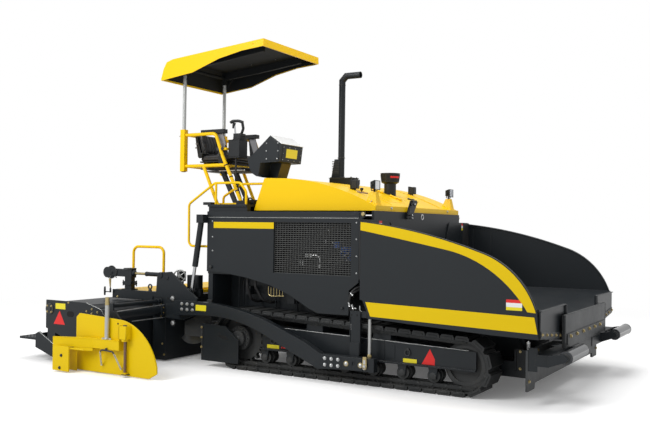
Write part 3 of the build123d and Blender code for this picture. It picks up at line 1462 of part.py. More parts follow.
save("hoses", control_cable(), *pair(drive_hose(-455.0, 20.0), drive_hose(-350.0, 100.0)))
save("operator_controls", control_box(), armrest(seat_y0 - 60.0), armrest(seat_y1 + 60.0))


# ---- tubular rails at the back of the deck -----------------------------------------------------
rail_y = panel_y - 50.0
rail_r = 13.0
rail_low_end_z, rail_top_z = 1270.0, 1956.0


def deck_rail():
    """Bent tube from the rear post, round the back and over the deck's edge."""
    rail = bent_tube([(panel_back_x, rail_y, rail_low_end_z), (-1223.0, rail_y, rail_low_end_z),
                      (-1228.0, rail_y, 1731.0),
                      (-870.0, rail_y, rail_top_z), (-530.0, rail_y, rail_top_z), (-450.0, rail_y, 1860.0),
                      (-450.0, rail_y, deck_z)],
                     rail_r, 60.0)
    return rail + round_bar((-853.0, rail_y, deck_z), (-853.0, rail_y, rail_top_z - 4.0), rail_r)


def inner_rail():
    """Second rail beside the seat, from the deck to the hood's raked back."""
    y, z = station_y0 + 90.0, rail_top_z - 4.0
    back_x = hood_back_x + (z - hood_bottom_z) * (hood_crest_back[0] - hood_back_x) / (hood_crest_back[1] - hood_bottom_z)
    tube = bent_tube([(-900.0, y, deck_z), (-900.0, y, 1815.0), (-646.0, y, z), (back_x + 10.0, y, z)],
                     rail_r, 50.0)
    return tube - hood_block


save("deck_rails", *pair(deck_rail()), inner_rail())
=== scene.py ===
# %% [markdown]
# A tracked asphalt paver is dressed here in one shared frame. The CAD nodes already have the
# right shape, size and place, so the scene only adds finishes and the small hardware that
# makes steel plate read as a machine: bolts, grilles, hoses, chains, lamps and a padded seat.

# %% Load the frame
from math import asin, atan2, cos, exp, hypot, pi, radians, sin
import bmesh
import bpy
from mathutils import Matrix, Vector


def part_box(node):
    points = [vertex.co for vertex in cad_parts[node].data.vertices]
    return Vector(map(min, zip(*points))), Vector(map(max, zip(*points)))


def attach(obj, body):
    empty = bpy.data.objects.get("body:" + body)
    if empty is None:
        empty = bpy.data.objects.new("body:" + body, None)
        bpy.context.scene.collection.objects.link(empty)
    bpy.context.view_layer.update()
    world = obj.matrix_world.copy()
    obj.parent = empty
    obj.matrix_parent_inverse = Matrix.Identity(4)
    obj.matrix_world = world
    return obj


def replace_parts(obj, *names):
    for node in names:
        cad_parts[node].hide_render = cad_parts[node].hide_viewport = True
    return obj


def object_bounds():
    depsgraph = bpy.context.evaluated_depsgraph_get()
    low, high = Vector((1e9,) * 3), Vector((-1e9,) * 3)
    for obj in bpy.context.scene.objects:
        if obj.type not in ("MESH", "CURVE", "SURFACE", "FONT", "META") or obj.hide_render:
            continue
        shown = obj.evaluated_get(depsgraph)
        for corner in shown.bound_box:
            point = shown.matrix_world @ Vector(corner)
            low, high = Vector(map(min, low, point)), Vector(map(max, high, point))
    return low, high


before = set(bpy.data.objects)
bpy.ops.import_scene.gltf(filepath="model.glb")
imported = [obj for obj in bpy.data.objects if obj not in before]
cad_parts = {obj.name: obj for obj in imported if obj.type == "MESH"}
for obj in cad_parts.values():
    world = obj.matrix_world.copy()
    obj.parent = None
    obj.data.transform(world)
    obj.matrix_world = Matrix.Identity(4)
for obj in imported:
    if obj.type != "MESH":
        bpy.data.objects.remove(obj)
first_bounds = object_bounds()

# %% [markdown]
# Sizes are easiest to read in the maker's own millimetres, measured from the same zero as the
# construction drawing. One helper turns them into metres in the row frame.

# %% Millimetres to the row frame
MIDDLE_X = 60


def at(x, y, z):
    return Vector(((x - MIDDLE_X) / 1000, y / 1000, z / 1000))


SIDES = (("right", -1), ("left", 1))
print("millimetres are measured from x =", -MIDDLE_X, "mm in the row frame")

# %% [markdown]
# Every finish is built from the same three effects: wear that shows where an edge has been
# rubbed, a fine grain in the coat, and dust that settles on faces that look up. Each effect is
# a node group with named inputs, so that one recipe serves paint, cast steel and plastic.

# %% Effect groups
def new_group(name, inputs, outputs):
    """A shader group with its sockets made; returns the tree, its input and output nodes."""
    tree = bpy.data.node_groups.new(name, "ShaderNodeTree")
    for label, kind, value in inputs:
        socket = tree.interface.new_socket(label, in_out="INPUT", socket_type=kind)
        if value is not None:
            socket.default_value = value
    for label, kind in outputs:
        tree.interface.new_socket(label, in_out="OUTPUT", socket_type=kind)
    return tree, tree.nodes.new("NodeGroupInput"), tree.nodes.new("NodeGroupOutput")


def add(tree, kind, inputs=None, **settings):
    """A node with its settings and its inputs, which are values or other nodes' outputs."""
    node = tree.nodes.new(kind)
    for key, value in settings.items():
        setattr(node, key, value)
    for key, value in (inputs or {}).items():
        if isinstance(value, bpy.types.NodeSocket):
            tree.links.new(value, node.inputs[key])
        else:
            node.inputs[key].default_value = value
    return node


def maths(tree, operation, a, b=0, clamp=False):
    return add(tree, "ShaderNodeMath", {0: a, 1: b}, operation=operation, use_clamp=clamp).outputs[0]


def edge_wear_group():
    tree, source, result = new_group("Edge wear", [("Radius", "NodeSocketFloat", 0.004),
        ("Amount", "NodeSocketFloat", 0.5), ("Patch Scale", "NodeSocketFloat", 9)],
        [("Mask", "NodeSocketFloat"), ("Soft Normal", "NodeSocketVector")])
    bevel = add(tree, "ShaderNodeBevel", {"Radius": source.outputs["Radius"]}, samples=4)
    geometry = add(tree, "ShaderNodeNewGeometry")
    same = add(tree, "ShaderNodeVectorMath", {0: bevel.outputs[0], 1: geometry.outputs["Normal"]},
        operation="DOT_PRODUCT")
    edge = maths(tree, "MULTIPLY", maths(tree, "SUBTRACT", 1, same.outputs["Value"]), 5, True)
    place = add(tree, "ShaderNodeTexCoord")
    patches = add(tree, "ShaderNodeTexNoise", {"Vector": place.outputs["Object"],
        "Scale": source.outputs["Patch Scale"], "Detail": 5, "Roughness": 0.65})
    broken = maths(tree, "MULTIPLY", maths(tree, "SUBTRACT", patches.outputs["Fac"], 0.46), 7, True)
    mask = maths(tree, "MULTIPLY", maths(tree, "MULTIPLY", edge, broken), source.outputs["Amount"], True)
    tree.links.new(mask, result.inputs["Mask"])
    tree.links.new(bevel.outputs[0], result.inputs["Soft Normal"])
    return tree


def grain_group():
    tree, source, result = new_group("Grain", [("Scale", "NodeSocketFloat", 60),
        ("Contrast", "NodeSocketFloat", 0.15)], [("Shade", "NodeSocketFloat"),
        ("Height", "NodeSocketFloat")])
    place = add(tree, "ShaderNodeTexCoord")
    fine = add(tree, "ShaderNodeTexNoise", {"Vector": place.outputs["Object"],
        "Scale": source.outputs["Scale"], "Detail": 3})
    broad = add(tree, "ShaderNodeTexNoise", {"Vector": place.outputs["Object"], "Scale": 1.7, "Detail": 4})
    both = maths(tree, "ADD", maths(tree, "MULTIPLY", fine.outputs["Fac"], 0.35),
        maths(tree, "MULTIPLY", broad.outputs["Fac"], 0.65))
    centred = maths(tree, "MULTIPLY", maths(tree, "SUBTRACT", both, 0.5), source.outputs["Contrast"])
    tree.links.new(maths(tree, "ADD", centred, 1), result.inputs["Shade"])
    tree.links.new(fine.outputs["Fac"], result.inputs["Height"])
    return tree


def dust_group():
    tree, source, result = new_group("Dust", [("Amount", "NodeSocketFloat", 0.15),
        ("Low Height", "NodeSocketFloat", 0.6)], [("Mask", "NodeSocketFloat")])
    place = add(tree, "ShaderNodeTexCoord")
    geometry = add(tree, "ShaderNodeNewGeometry")
    up = add(tree, "ShaderNodeSeparateXYZ", {0: geometry.outputs["Normal"]}).outputs["Z"]
    height = add(tree, "ShaderNodeSeparateXYZ", {0: place.outputs["Object"]}).outputs["Z"]
    facing = maths(tree, "MULTIPLY", maths(tree, "SUBTRACT", up, 0.35), 1.4, True)
    low = maths(tree, "SUBTRACT", 1, maths(tree, "DIVIDE", height, source.outputs["Low Height"]), True)
    cloud = add(tree, "ShaderNodeTexNoise", {"Vector": place.outputs["Object"], "Scale": 5, "Detail": 6,
        "Roughness": 0.6})
    thick = maths(tree, "MULTIPLY", maths(tree, "SUBTRACT", cloud.outputs["Fac"], 0.36), 2.6, True)
    both = maths(tree, "ADD", maths(tree, "MULTIPLY", facing, 0.6), maths(tree, "MULTIPLY", low, 0.45))
    mask = maths(tree, "MULTIPLY", maths(tree, "MULTIPLY", both, thick), source.outputs["Amount"], True)
    tree.links.new(mask, result.inputs["Mask"])
    return tree


EDGE_WEAR, GRAIN, DUST = edge_wear_group(), grain_group(), dust_group()
print("effect groups", EDGE_WEAR.name, GRAIN.name, DUST.name)

# %% [markdown]
# A finish says what the coat is: its colour, gloss and metal, the bare colour that wear shows,
# and how much dust and wear it carries. The shader itself stays in each material.

# %% Finishes
DUST_COLOUR = (0.33, 0.31, 0.28, 1)
COLOUR_A, COLOUR_B, MIXED = 6, 7, 2         # a Mix node's sockets when it mixes colours


def finish(name, colour, roughness, metallic=0, bare=(0.32, 0.32, 0.31), wear=0.35, edge=0.004, grain=0.12,
           grain_scale=60, bump=0.04, dust=0.12, coat=0, dust_height=0.7, specular=0.5):
    material = bpy.data.materials.new(name)
    material.use_nodes = True
    tree = material.node_tree
    shader = tree.nodes["Principled BSDF"]
    worn = add(tree, "ShaderNodeGroup", node_tree=EDGE_WEAR)
    worn.inputs["Radius"].default_value = edge
    worn.inputs["Amount"].default_value = wear
    grains = add(tree, "ShaderNodeGroup", node_tree=GRAIN)
    grains.inputs["Scale"].default_value = grain_scale
    grains.inputs["Contrast"].default_value = grain
    settled = add(tree, "ShaderNodeGroup", node_tree=DUST)
    settled.inputs["Amount"].default_value = dust
    settled.inputs["Low Height"].default_value = dust_height
    grey = add(tree, "ShaderNodeCombineColor", dict.fromkeys((0, 1, 2), grains.outputs["Shade"]))
    shade = add(tree, "ShaderNodeMix", data_type="RGBA", blend_type="MULTIPLY")
    rubbed = add(tree, "ShaderNodeMix", data_type="RGBA")
    dusty = add(tree, "ShaderNodeMix", data_type="RGBA")
    shade.inputs["Factor"].default_value = 1
    shade.inputs[COLOUR_A].default_value = (*colour, 1)
    rubbed.inputs[COLOUR_B].default_value = (*bare, 1)
    dusty.inputs[COLOUR_B].default_value = DUST_COLOUR
    wires = (
        (grey.outputs[0], shade.inputs[COLOUR_B]),
        (shade.outputs[MIXED], rubbed.inputs[COLOUR_A]),
        (worn.outputs["Mask"], rubbed.inputs["Factor"]),
        (rubbed.outputs[MIXED], dusty.inputs[COLOUR_A]),
        (settled.outputs["Mask"], dusty.inputs["Factor"]),
        (dusty.outputs[MIXED], shader.inputs["Base Color"]),
    )
    for value, socket in wires:
        tree.links.new(value, socket)
    gloss = maths(tree, "ADD", maths(tree, "MULTIPLY", settled.outputs["Mask"], 0.5), roughness)
    uneven = maths(tree, "ADD", gloss, maths(tree, "MULTIPLY",
        maths(tree, "SUBTRACT", grains.outputs["Shade"], 1), 0.9), True)
    tree.links.new(uneven, shader.inputs["Roughness"])
    metal = maths(tree, "ADD", maths(tree, "MULTIPLY", worn.outputs["Mask"], 0.8), metallic, True)
    tree.links.new(metal, shader.inputs["Metallic"])
    ripple = add(tree, "ShaderNodeBump", {"Strength": bump, "Distance": 0.002,
        "Height": grains.outputs["Height"], "Normal": worn.outputs["Soft Normal"]})
    tree.links.new(ripple.outputs[0], shader.inputs["Normal"])
    shader.inputs["Specular IOR Level"].default_value = specular
    shader.inputs["Coat Weight"].default_value = coat
    shader.inputs["Coat Roughness"].default_value = 0.12
    return material


def plain(name, colour, roughness, metallic=0, **sockets):
    """A small part's finish, too small to show wear or dust."""
    material = finish(name, colour, roughness, metallic, wear=0, grain=0.06, bump=0.02, dust=0, edge=0.001)
    shader = material.node_tree.nodes["Principled BSDF"]
    for key, value in sockets.items():
        shader.inputs[key.replace("_", " ")].default_value = value
    return material


BLACK = finish("Satin black-grey paint", (0.0105, 0.0138, 0.0168), 0.40, coat=0.03, dust=0.04, wear=0.18,
    grain=0.16, specular=0.34)
YELLOW = finish("Deep yellow paint", (0.92, 0.575, 0), 0.36, coat=0.05, dust=0, wear=0.02, grain=0.05,
    bump=0.015, specular=0.22)
TUBE_YELLOW = finish("Deep yellow tube paint", (0.92, 0.575, 0), 0.36, coat=0.05, dust=0, wear=0,
    edge=0.0002, grain=0.04, bump=0.01, specular=0.22)
BAND = finish("Yellow band film", (0.745, 0.515, 0), 0.42, dust=0, wear=0, grain=0.04, bump=0.01,
    specular=0.2)
# Painted shade: a near-black finish for flat sheets and discs that stand in for the shade inside holes and
# slots.
SHADE_IN_HOLES = plain("Deep shadow", (0.003, 0.003, 0.003), 0.9)
BROWN = finish("Olive-brown inner sheet", (0.085, 0.062, 0.012), 0.5, wear=0.1, dust=0.05)
SHEET = finish("Pale sheet finish", (0.80, 0.80, 0.79), 0.35, wear=0.05, dust=0, grain=0.04)
TRACK = finish("Black track steel", (0.022, 0.024, 0.025), 0.52, 0.25, bare=(0.16, 0.155, 0.15), wear=0.7,
    edge=0.006, grain=0.35, grain_scale=35, bump=0.25, dust=0.22, dust_height=0.35)
CAST = finish("Rough black casting", (0.026, 0.028, 0.029), 0.60, 0.1, wear=0.5, grain=0.3, grain_scale=90,
    bump=0.3, dust=0.2)
HOPPER = finish("Hopper plate", (0.045, 0.049, 0.052), 0.45, 0.35, bare=(0.22, 0.22, 0.215), wear=0.55,
    edge=0.006, grain=0.5, grain_scale=14, bump=0.06, dust=0.25, dust_height=0.9)
AUGER = finish("Wear-resistant auger steel", (0.075, 0.080, 0.084), 0.34, 0.55, bare=(0.30, 0.30, 0.29),
    wear=0.5, grain=0.4, grain_scale=24, bump=0.08)
ROLLER = finish("Turned roller steel", (0.030, 0.034, 0.040), 0.16, 0.35, wear=0.2, grain=0.2, bump=0.02,
    dust=0.02, coat=0.5)
# Painted shade: a near-black matte finish for the canopy's inside, its arms and the inner units, where shade
# falls.
SHADE_SHEET = finish("Painted shade sheet", (0.006, 0.0075, 0.0085), 0.7, wear=0, grain=0.25, bump=0.05, dust=0,
    specular=0.2)
# This galvanised finish also draws the thin bright lines along some edges, which are painted highlights.
GALVANISED = finish("Galvanised tube", (0.50, 0.51, 0.50), 0.42, 0.75, wear=0.1, grain=0.35, grain_scale=30,
    bump=0.05, dust=0.05)
CHROME = plain("Hard chrome", (0.52, 0.53, 0.54), 0.12, 1)
ZINC = plain("Bright zinc bolt", (0.62, 0.63, 0.63), 0.28, 0.85)
BRASS_ZINC = plain("Yellow passivated fitting", (0.52, 0.42, 0.20), 0.32, 0.8)
PLASTIC = finish("Black moulded plastic", (0.0105, 0.0125, 0.0145), 0.42, wear=0, grain=0.1,
    grain_scale=220, bump=0.08, dust=0.03, specular=0.36)
WIRE = finish("Welded wire paint", (0.052, 0.054, 0.052), 0.5, wear=0, dust=0)
RUBBER = finish("Black rubber", (0.014, 0.014, 0.015), 0.62, wear=0, grain=0.15, grain_scale=150, bump=0.1)
VINYL = finish("Black seat cover", (0.020, 0.020, 0.022), 0.46, wear=0, edge=0.002, grain=0.1,
    grain_scale=320, bump=0.22, dust=0.05)
GREY_PLASTIC = finish("Grey moulded plastic", (0.25, 0.25, 0.265), 0.5, wear=0, grain=0.08, grain_scale=200,
    bump=0.08, dust=0.05)
RED = plain("Red film", (0.72, 0.012, 0.010), 0.35)
LABEL_YELLOW = plain("Yellow film", (0.78, 0.66, 0.012), 0.4)
LABEL_WHITE = plain("White film", (0.80, 0.80, 0.80), 0.4)
MIRROR = plain("Lamp reflector", (0.85, 0.86, 0.88), 0.08, 1)
BLUE = plain("Blue fitting", (0.03, 0.10, 0.35), 0.4)
RUST = plain("Bronze-brown rod", (0.20, 0.13, 0.10), 0.45, 0.6)


def lens_glass():
    material = bpy.data.materials.new("Lamp lens")
    material.use_nodes = True
    shader = material.node_tree.nodes["Principled BSDF"]
    shader.inputs["Base Color"].default_value = (0.95, 0.97, 1, 1)
    shader.inputs["Roughness"].default_value = 0.05
    shader.inputs["IOR"].default_value = 1.45
    shader.inputs["Transmission Weight"].default_value = 1
    return material


LENS = lens_glass()
print("finishes", len(bpy.data.materials))

# %% [markdown]
# The CAD nodes take their finish first. Where a node carries two colours, as a wing with its
# yellow bands does, the second colour is a thin plate of its own laid on afterwards.

# %% Finishes on the CAD nodes
NODE_FINISH = {
    TRACK: ("track_left", "track_right", "conveyors"),
    CAST: ("track_wheels", "auger_frame"),
    # The inner units take the near-black lining finish, which is painted shade.
    SHADE_SHEET: ("inner_units",),
    AUGER: ("auger_left", "auger_right"),
    YELLOW: ("hood", "hood_lid", "canopy", "screed_deck"),
    TUBE_YELLOW: ("screed_rails", "deck_rails", "station_frame"),
    BAND: ("end_gate_left", "end_gate_right"),
    GALVANISED: ("canopy_frame",),
    RUBBER: ("hoses",),
    CHROME: ("wing_rod_left", "wing_rod_right", "lift_rod_left", "lift_rod_right"),
    ROLLER: ("push_roller_left", "push_roller_right"),
    PLASTIC: ("air_intake", "operator_controls", "seat_base", "work_lamps"),
    VINYL: ("seat_cushion", "seat_back"),
    HOPPER: ("hopper_front",),
}
for material, names in NODE_FINISH.items():
    for name in names:
        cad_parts[name].data.materials.clear()
        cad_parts[name].data.materials.append(material)
for name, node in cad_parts.items():
    if not any(name in names for names in NODE_FINISH.values()):
        node.data.materials.clear()
        node.data.materials.append(BLACK)
print("nodes finished", len(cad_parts))
# %% [markdown]
# Most hardware is drawn in mesh code: plates from an outline, turned rods, bent pipes. The
# helpers below draw in millimetres, and one more helper turns the drawing into a finished
# piece: it merges doubles, points the faces outwards, moves it into the row frame, rounds its
# sharp edges with a Bevel modifier and lets it ride on the body that carries it. A drawing
# that stands under "pair" or "single" becomes a piece at once, named like the drawing: it
# rides on the tractor unless the line says another body.

# %% Drawing helpers
BLOCK_FACES = ((0, 1, 3, 2), (4, 6, 7, 5), (0, 4, 5, 1), (2, 3, 7, 6), (0, 2, 6, 4), (1, 5, 7, 3))


def block(bm, corners):
    """Six faces between eight corners, given low before high along each edge."""
    verts = [bm.verts.new(corner) for corner in corners]
    for face in BLOCK_FACES:
        bm.faces.new([verts[i] for i in face])


def slab(bm, x0, x1, y0, y1, z0, z1):
    """A rectangular block between two corners."""
    block(bm, [(x, y, z) for x in (x0, x1) for y in (y0, y1) for z in (z0, z1)])


def around(count):
    """Even angles round a full turn."""
    return [2 * pi * k / count for k in range(count)]


def joined(bm, low, high):
    """Faces between two rings of the same count."""
    for k in range(len(low)):
        nxt = (k + 1) % len(low)
        bm.faces.new((low[k], low[nxt], high[nxt], high[k]))


def sheet_metal(bm, outline, axis, start, end):
    """A flat outline with a thickness. The outline lies across the axis; its two numbers follow XYZ order."""
    place = {"x": lambda u, v, w: (w, u, v), "y": lambda u, v, w: (u, w, v), "z": lambda u, v,
        w: (u, v, w)}[axis]
    rims = [[bm.verts.new(place(u, v, w)) for u, v in outline] for w in (start, end)]
    for rim in rims:
        bm.faces.new(rim)
    for i in range(len(outline)):
        j = (i + 1) % len(outline)
        bm.faces.new((rims[0][i], rims[0][j], rims[1][j], rims[1][i]))


def turned(bm, start, end, *radii, sides=28):
    """A round bar whose radius goes through the given values from its start to its end."""
    start, end = Vector(start), Vector(end)
    radii = radii * 2 if len(radii) == 1 else radii
    turn = (end - start).to_track_quat("Z", "Y")
    rings = []
    for i, radius in enumerate(radii):
        centre = start.lerp(end, i / (len(radii) - 1))
        rings.append([bm.verts.new(centre + turn @ Vector((radius * cos(a), radius * sin(a), 0)))
            for a in around(sides)])
    for low, high in zip(rings, rings[1:]):
        joined(bm, low, high)
    bm.faces.new(rings[0])
    bm.faces.new(rings[-1])


def turned_x(bm, y, z, x0, x1, *radii, sides=28):
    turned(bm, (x0, y, z), (x1, y, z), *radii, sides=sides)


def turned_y(bm, x, z, y0, y1, *radii, sides=28):
    turned(bm, (x, y0, z), (x, y1, z), *radii, sides=sides)


def turned_z(bm, x, y, z0, z1, *radii, sides=28):
    turned(bm, (x, y, z0), (x, y, z1), *radii, sides=sides)


def rounded_route(points, bend, steps=5):
    """The corners of a pipe's route, each replaced by a short arc."""
    points = [Vector(p) for p in points]
    route = [points[0]]
    for before, corner, after in zip(points, points[1:], points[2:]):
        reach = min(bend, (before - corner).length * 0.48, (after - corner).length * 0.48)
        a, b = corner + (before - corner).normalized() * reach, corner + (after - corner).normalized() * reach
        route += [a.lerp(corner, t).lerp(corner.lerp(b, t), t) for t in (i / steps for i in range(steps + 1))]
    return route + [points[-1]]


def pipe(bm, points, radius, bend=0, sides=12, closed=False):
    """A round tube along a route. The ring of each step is carried on from the last without a twist."""
    route = rounded_route(points, bend) if bend else [Vector(p) for p in points]
    count = len(route)
    rings, side = [], None
    for i, centre in enumerate(route):
        before = route[(i - 1) % count] if closed or i else centre
        after = route[(i + 1) % count] if closed or i < count - 1 else centre
        ahead = (after - before).normalized()
        side = ahead.orthogonal().normalized() if side is None else (side - ahead
            * side.dot(ahead)).normalized()
        other = ahead.cross(side)
        rings.append([bm.verts.new(centre + (side * cos(a) + other * sin(a)) * radius)
            for a in around(sides)])
    for low, high in list(zip(rings, rings[1:])) + ([(rings[-1], rings[0])] if closed else []):
        joined(bm, low, high)
    if not closed:
        bm.faces.new(rings[0])
        bm.faces.new(rings[-1])


def hoop(bm, centre, axis, radius, thick, sides=24, ring_sides=10):
    """A closed ring of round bar about an axis."""
    turn = Vector(axis).to_track_quat("Z", "Y")
    points = [Vector(centre) + turn @ Vector((radius * cos(a), radius * sin(a), 0)) for a in around(sides)]
    pipe(bm, points, thick, sides=ring_sides, closed=True)


def circle_points(x, z, radius, count, start=0):
    return [(x + radius * cos(start + a), z + radius * sin(start + a)) for a in around(count)]


def collar(bm, x, z, bore, radius, y0, y1, sides):
    """A ring with a bore, round a tube that lies across the machine."""
    rings = [[bm.verts.new((x + r * cos(a), y, z + r * sin(a))) for a in around(sides)] for r,
        y in ((bore, y0), (radius, y0), (radius, y1), (bore, y1))]
    for low, high in zip(rings, rings[1:] + rings[:1]):
        joined(bm, low, high)


def make(name, material, body, draw, bevel=0, side=1, smooth=35, slot=None):
    """Turns a drawing into a finished piece. Drawings are made on the left; side -1 mirrors them."""
    bm = bmesh.new()
    draw(bm)
    bmesh.ops.remove_doubles(bm, verts=bm.verts, dist=0.01)
    for vert in bm.verts:
        vert.co = at(vert.co.x, vert.co.y * side, vert.co.z)
    bmesh.ops.recalc_face_normals(bm, faces=bm.faces)
    mesh = bpy.data.meshes.new(name)
    bm.to_mesh(mesh)
    bm.free()
    return dress(name, mesh, material, body, bevel, smooth)


def dress(name, mesh, material, body, bevel=0, smooth=35):
    """Gives a mesh its material, shading and rounded edges, and lets it ride on its body."""
    mesh.shade_smooth()
    mesh.set_sharp_from_angle(angle=radians(smooth))
    mesh.materials.clear()
    mesh.materials.append(material)
    piece = bpy.data.objects.new(name, mesh)
    bpy.context.collection.objects.link(piece)
    if bevel:
        edge = piece.modifiers.new("Rounded edges", "BEVEL")
        edge.width, edge.segments, edge.limit_method = bevel / 1000, 2, "ANGLE"
        edge.harden_normals = False
    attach(piece, body)
    return piece


def both_sides(name, material, body, draw, **options):
    """The same piece on the left and, mirrored, on the right. A body's name may hold {side}."""
    return [make(f"{name}_{word}", material, body.format(side=word), draw, side=side, **options) for word,
        side in SIDES]


def pair(material, body="tractor", **options):
    """Stands before a drawing, and makes its piece on both sides under the drawing's own name."""
    return lambda draw: both_sides(draw.__name__, material, body, draw, **options)


def single(material, body="tractor", **options):
    """Stands before a drawing, and makes one piece of it under the drawing's own name."""
    return lambda draw: make(draw.__name__, material, body, draw, **options)


print("drawing helpers ready")

# %% [markdown]
# A machine like this has hundreds of bolts. One Geometry Nodes tree makes them all: it takes
# bare points that carry a direction and a size, sets a washer and a hexagon head on each, and
# joins them into one mesh. The head's proportions are named inputs of the tree.

# %% The bolt tree
def geometry_tree(name, inputs):
    tree = bpy.data.node_groups.new(name, "GeometryNodeTree")
    tree.interface.new_socket("Geometry", in_out="INPUT", socket_type="NodeSocketGeometry")
    for label, kind, value in inputs:
        socket = tree.interface.new_socket(label, in_out="INPUT", socket_type=kind)
        if value is not None:
            socket.default_value = value
    tree.interface.new_socket("Geometry", in_out="OUTPUT", socket_type="NodeSocketGeometry")
    return tree, tree.nodes.new("NodeGroupInput"), tree.nodes.new("NodeGroupOutput")


def finish_tree(tree, source, result, geometry):
    """Realize the copies, give them their material and end the tree."""
    real = add(tree, "GeometryNodeRealizeInstances", {"Geometry": geometry})
    painted = add(tree, "GeometryNodeSetMaterial", {"Geometry": real.outputs[0],
        "Material": source.outputs["Material"]})
    tree.links.new(painted.outputs[0], result.inputs["Geometry"])
    return tree


def bolt_tree():
    tree, source, result = geometry_tree("Bolts on points",
        [("Head Width", "NodeSocketFloat", 0.03), ("Head Height", "NodeSocketFloat", 0.012),
        ("Washer Width", "NodeSocketFloat", 0.04), ("Washer Height", "NodeSocketFloat", 0.003),
        ("Head Sides", "NodeSocketInt", 6), ("Material", "NodeSocketMaterial", None)])
    out = source.outputs
    washer = add(tree, "GeometryNodeMeshCylinder", {"Vertices": 20,
        "Radius": maths(tree, "MULTIPLY", out["Washer Width"], 0.5), "Depth": out["Washer Height"]})
    head = add(tree, "GeometryNodeMeshCylinder", {"Vertices": out["Head Sides"],
        "Radius": maths(tree, "MULTIPLY", out["Head Width"], 0.5), "Depth": out["Head Height"]})
    crown = add(tree, "GeometryNodeMeshCone", {"Vertices": out["Head Sides"],
        "Radius Top": maths(tree, "MULTIPLY", out["Head Width"], 0.36),
        "Radius Bottom": maths(tree, "MULTIPLY", out["Head Width"], 0.5),
        "Depth": maths(tree, "MULTIPLY", out["Head Height"], 0.18)})
    half = maths(tree, "MULTIPLY", out["Head Height"], 0.5)
    low = add(tree, "ShaderNodeCombineXYZ", {"Z": maths(tree, "MULTIPLY", out["Washer Height"], 0.5)})
    high = add(tree, "ShaderNodeCombineXYZ", {"Z": maths(tree, "ADD", out["Washer Height"], half)})
    top = add(tree, "ShaderNodeCombineXYZ", {"Z": maths(tree, "ADD", out["Washer Height"],
        out["Head Height"])})
    join = add(tree, "GeometryNodeJoinGeometry")
    for part, shift in ((washer, low), (head, high), (crown, top)):
        moved = add(tree, "GeometryNodeTransform", {"Geometry": part.outputs[0],
            "Translation": shift.outputs[0]})
        tree.links.new(moved.outputs[0], join.inputs[0])
    facing = add(tree, "GeometryNodeInputNamedAttribute", {"Name": "facing"}, data_type="FLOAT_VECTOR")
    size = add(tree, "GeometryNodeInputNamedAttribute", {"Name": "size"}, data_type="FLOAT")
    aim = add(tree, "FunctionNodeAlignRotationToVector", {"Vector": facing.outputs["Attribute"]}, axis="Z")
    copies = add(tree, "GeometryNodeInstanceOnPoints", {"Points": out["Geometry"],
        "Instance": join.outputs[0], "Rotation": aim.outputs[0], "Scale": size.outputs["Attribute"]})
    return finish_tree(tree, source, result, copies.outputs[0])


BOLT_TREE = bolt_tree()


def set_inputs(modifier, values):
    """A modifier's inputs are set by their sockets' identifiers."""
    for item in modifier.node_group.interface.items_tree:
        if item.item_type == "SOCKET" and item.in_out == "INPUT" and item.name in values:
            modifier[item.identifier] = values[item.name]


def grow(name, mesh, tree, values, material, body, smooth=35, bevel=0):
    """Runs a tree on a seed mesh and keeps the result as a plain piece."""
    seed = bpy.data.objects.new(name + " seed", mesh)
    bpy.context.collection.objects.link(seed)
    modifier = seed.modifiers.new("tree", "NODES")
    modifier.node_group = tree
    set_inputs(modifier, {**values, "Material": material})
    bpy.context.view_layer.update()
    depsgraph = bpy.context.evaluated_depsgraph_get()
    result = bpy.data.meshes.new_from_object(seed.evaluated_get(depsgraph))
    bpy.data.objects.remove(seed)
    result.name = name
    return dress(name, result, material, body, bevel, smooth)


def seed_points(places, facing, size):
    """Bare points with a direction and a size, for a tree to put copies on."""
    mesh = bpy.data.meshes.new("points")
    mesh.from_pydata([at(*place) for place in places], [], [])
    aim = mesh.attributes.new("facing", "FLOAT_VECTOR", "POINT")
    aim.data.foreach_set("vector", [value for _ in places for value in facing])
    scale = mesh.attributes.new("size", "FLOAT", "POINT")
    scale.data.foreach_set("value", [size] * len(places))
    return mesh


def bolts(name, body, places, facing=(0, 1, 0), size=1, material=None, **shape):
    """Bolt heads at the given places, all facing one way. Size 1 is a 30 mm head."""
    return grow(name, seed_points(places, facing, size), BOLT_TREE, shape, material or ZINC, body, smooth=25)


def bolts_both(name, body, places, facing=(0, 1, 0), **options):
    """Bolts given on the left, and their mirror image on the right."""
    for word, side in SIDES:
        mirrored = [(x, y * side, z) for x, y, z in places]
        bolts(f"{name}_{word}", body.format(side=word), mirrored, (facing[0], facing[1] * side, facing[2]),
            **options)


print("bolt tree", BOLT_TREE.name, "with", len(BOLT_TREE.nodes), "nodes")

# %% [markdown]
# Each hopper wing is black plate with two yellow bands: a crown that follows the arched top
# edge and leaves a thin black rim, and a foot stripe with slanted ends. The bands are thin
# plates of their own, so both edges stay crisp when the wing folds.

# %% Wings
def arc_through(a, b, c, steps=24):
    """Points on the circle through three points of a side view."""
    (ax, az), (bx, bz), (cx, cz) = a, b, c
    d = 2 * (ax * (bz - cz) + bx * (cz - az) + cx * (az - bz))
    a2, b2, c2 = ax * ax + az * az, bx * bx + bz * bz, cx * cx + cz * cz
    ux = (a2 * (bz - cz) + b2 * (cz - az) + c2 * (az - bz)) / d
    uz = (a2 * (cx - bx) + b2 * (ax - cx) + c2 * (bx - ax)) / d
    radius = hypot(ax - ux, az - uz)
    start, end = atan2(az - uz, ax - ux), atan2(cz - uz, cx - ux)
    return [(ux + radius * cos(start + (end - start) * i / steps),
        uz + radius * sin(start + (end - start) * i / steps)) for i in range(steps + 1)]


def inset(line, depth):
    """The same line moved down and in by a depth."""
    moved = []
    for i, (x, z) in enumerate(line):
        before, after = line[max(i - 1, 0)], line[min(i + 1, len(line) - 1)]
        length = hypot(after[0] - before[0], after[1] - before[1])
        moved.append((x + depth * (after[1] - before[1]) / length,
            z - depth * (after[0] - before[0]) / length))
    return moved


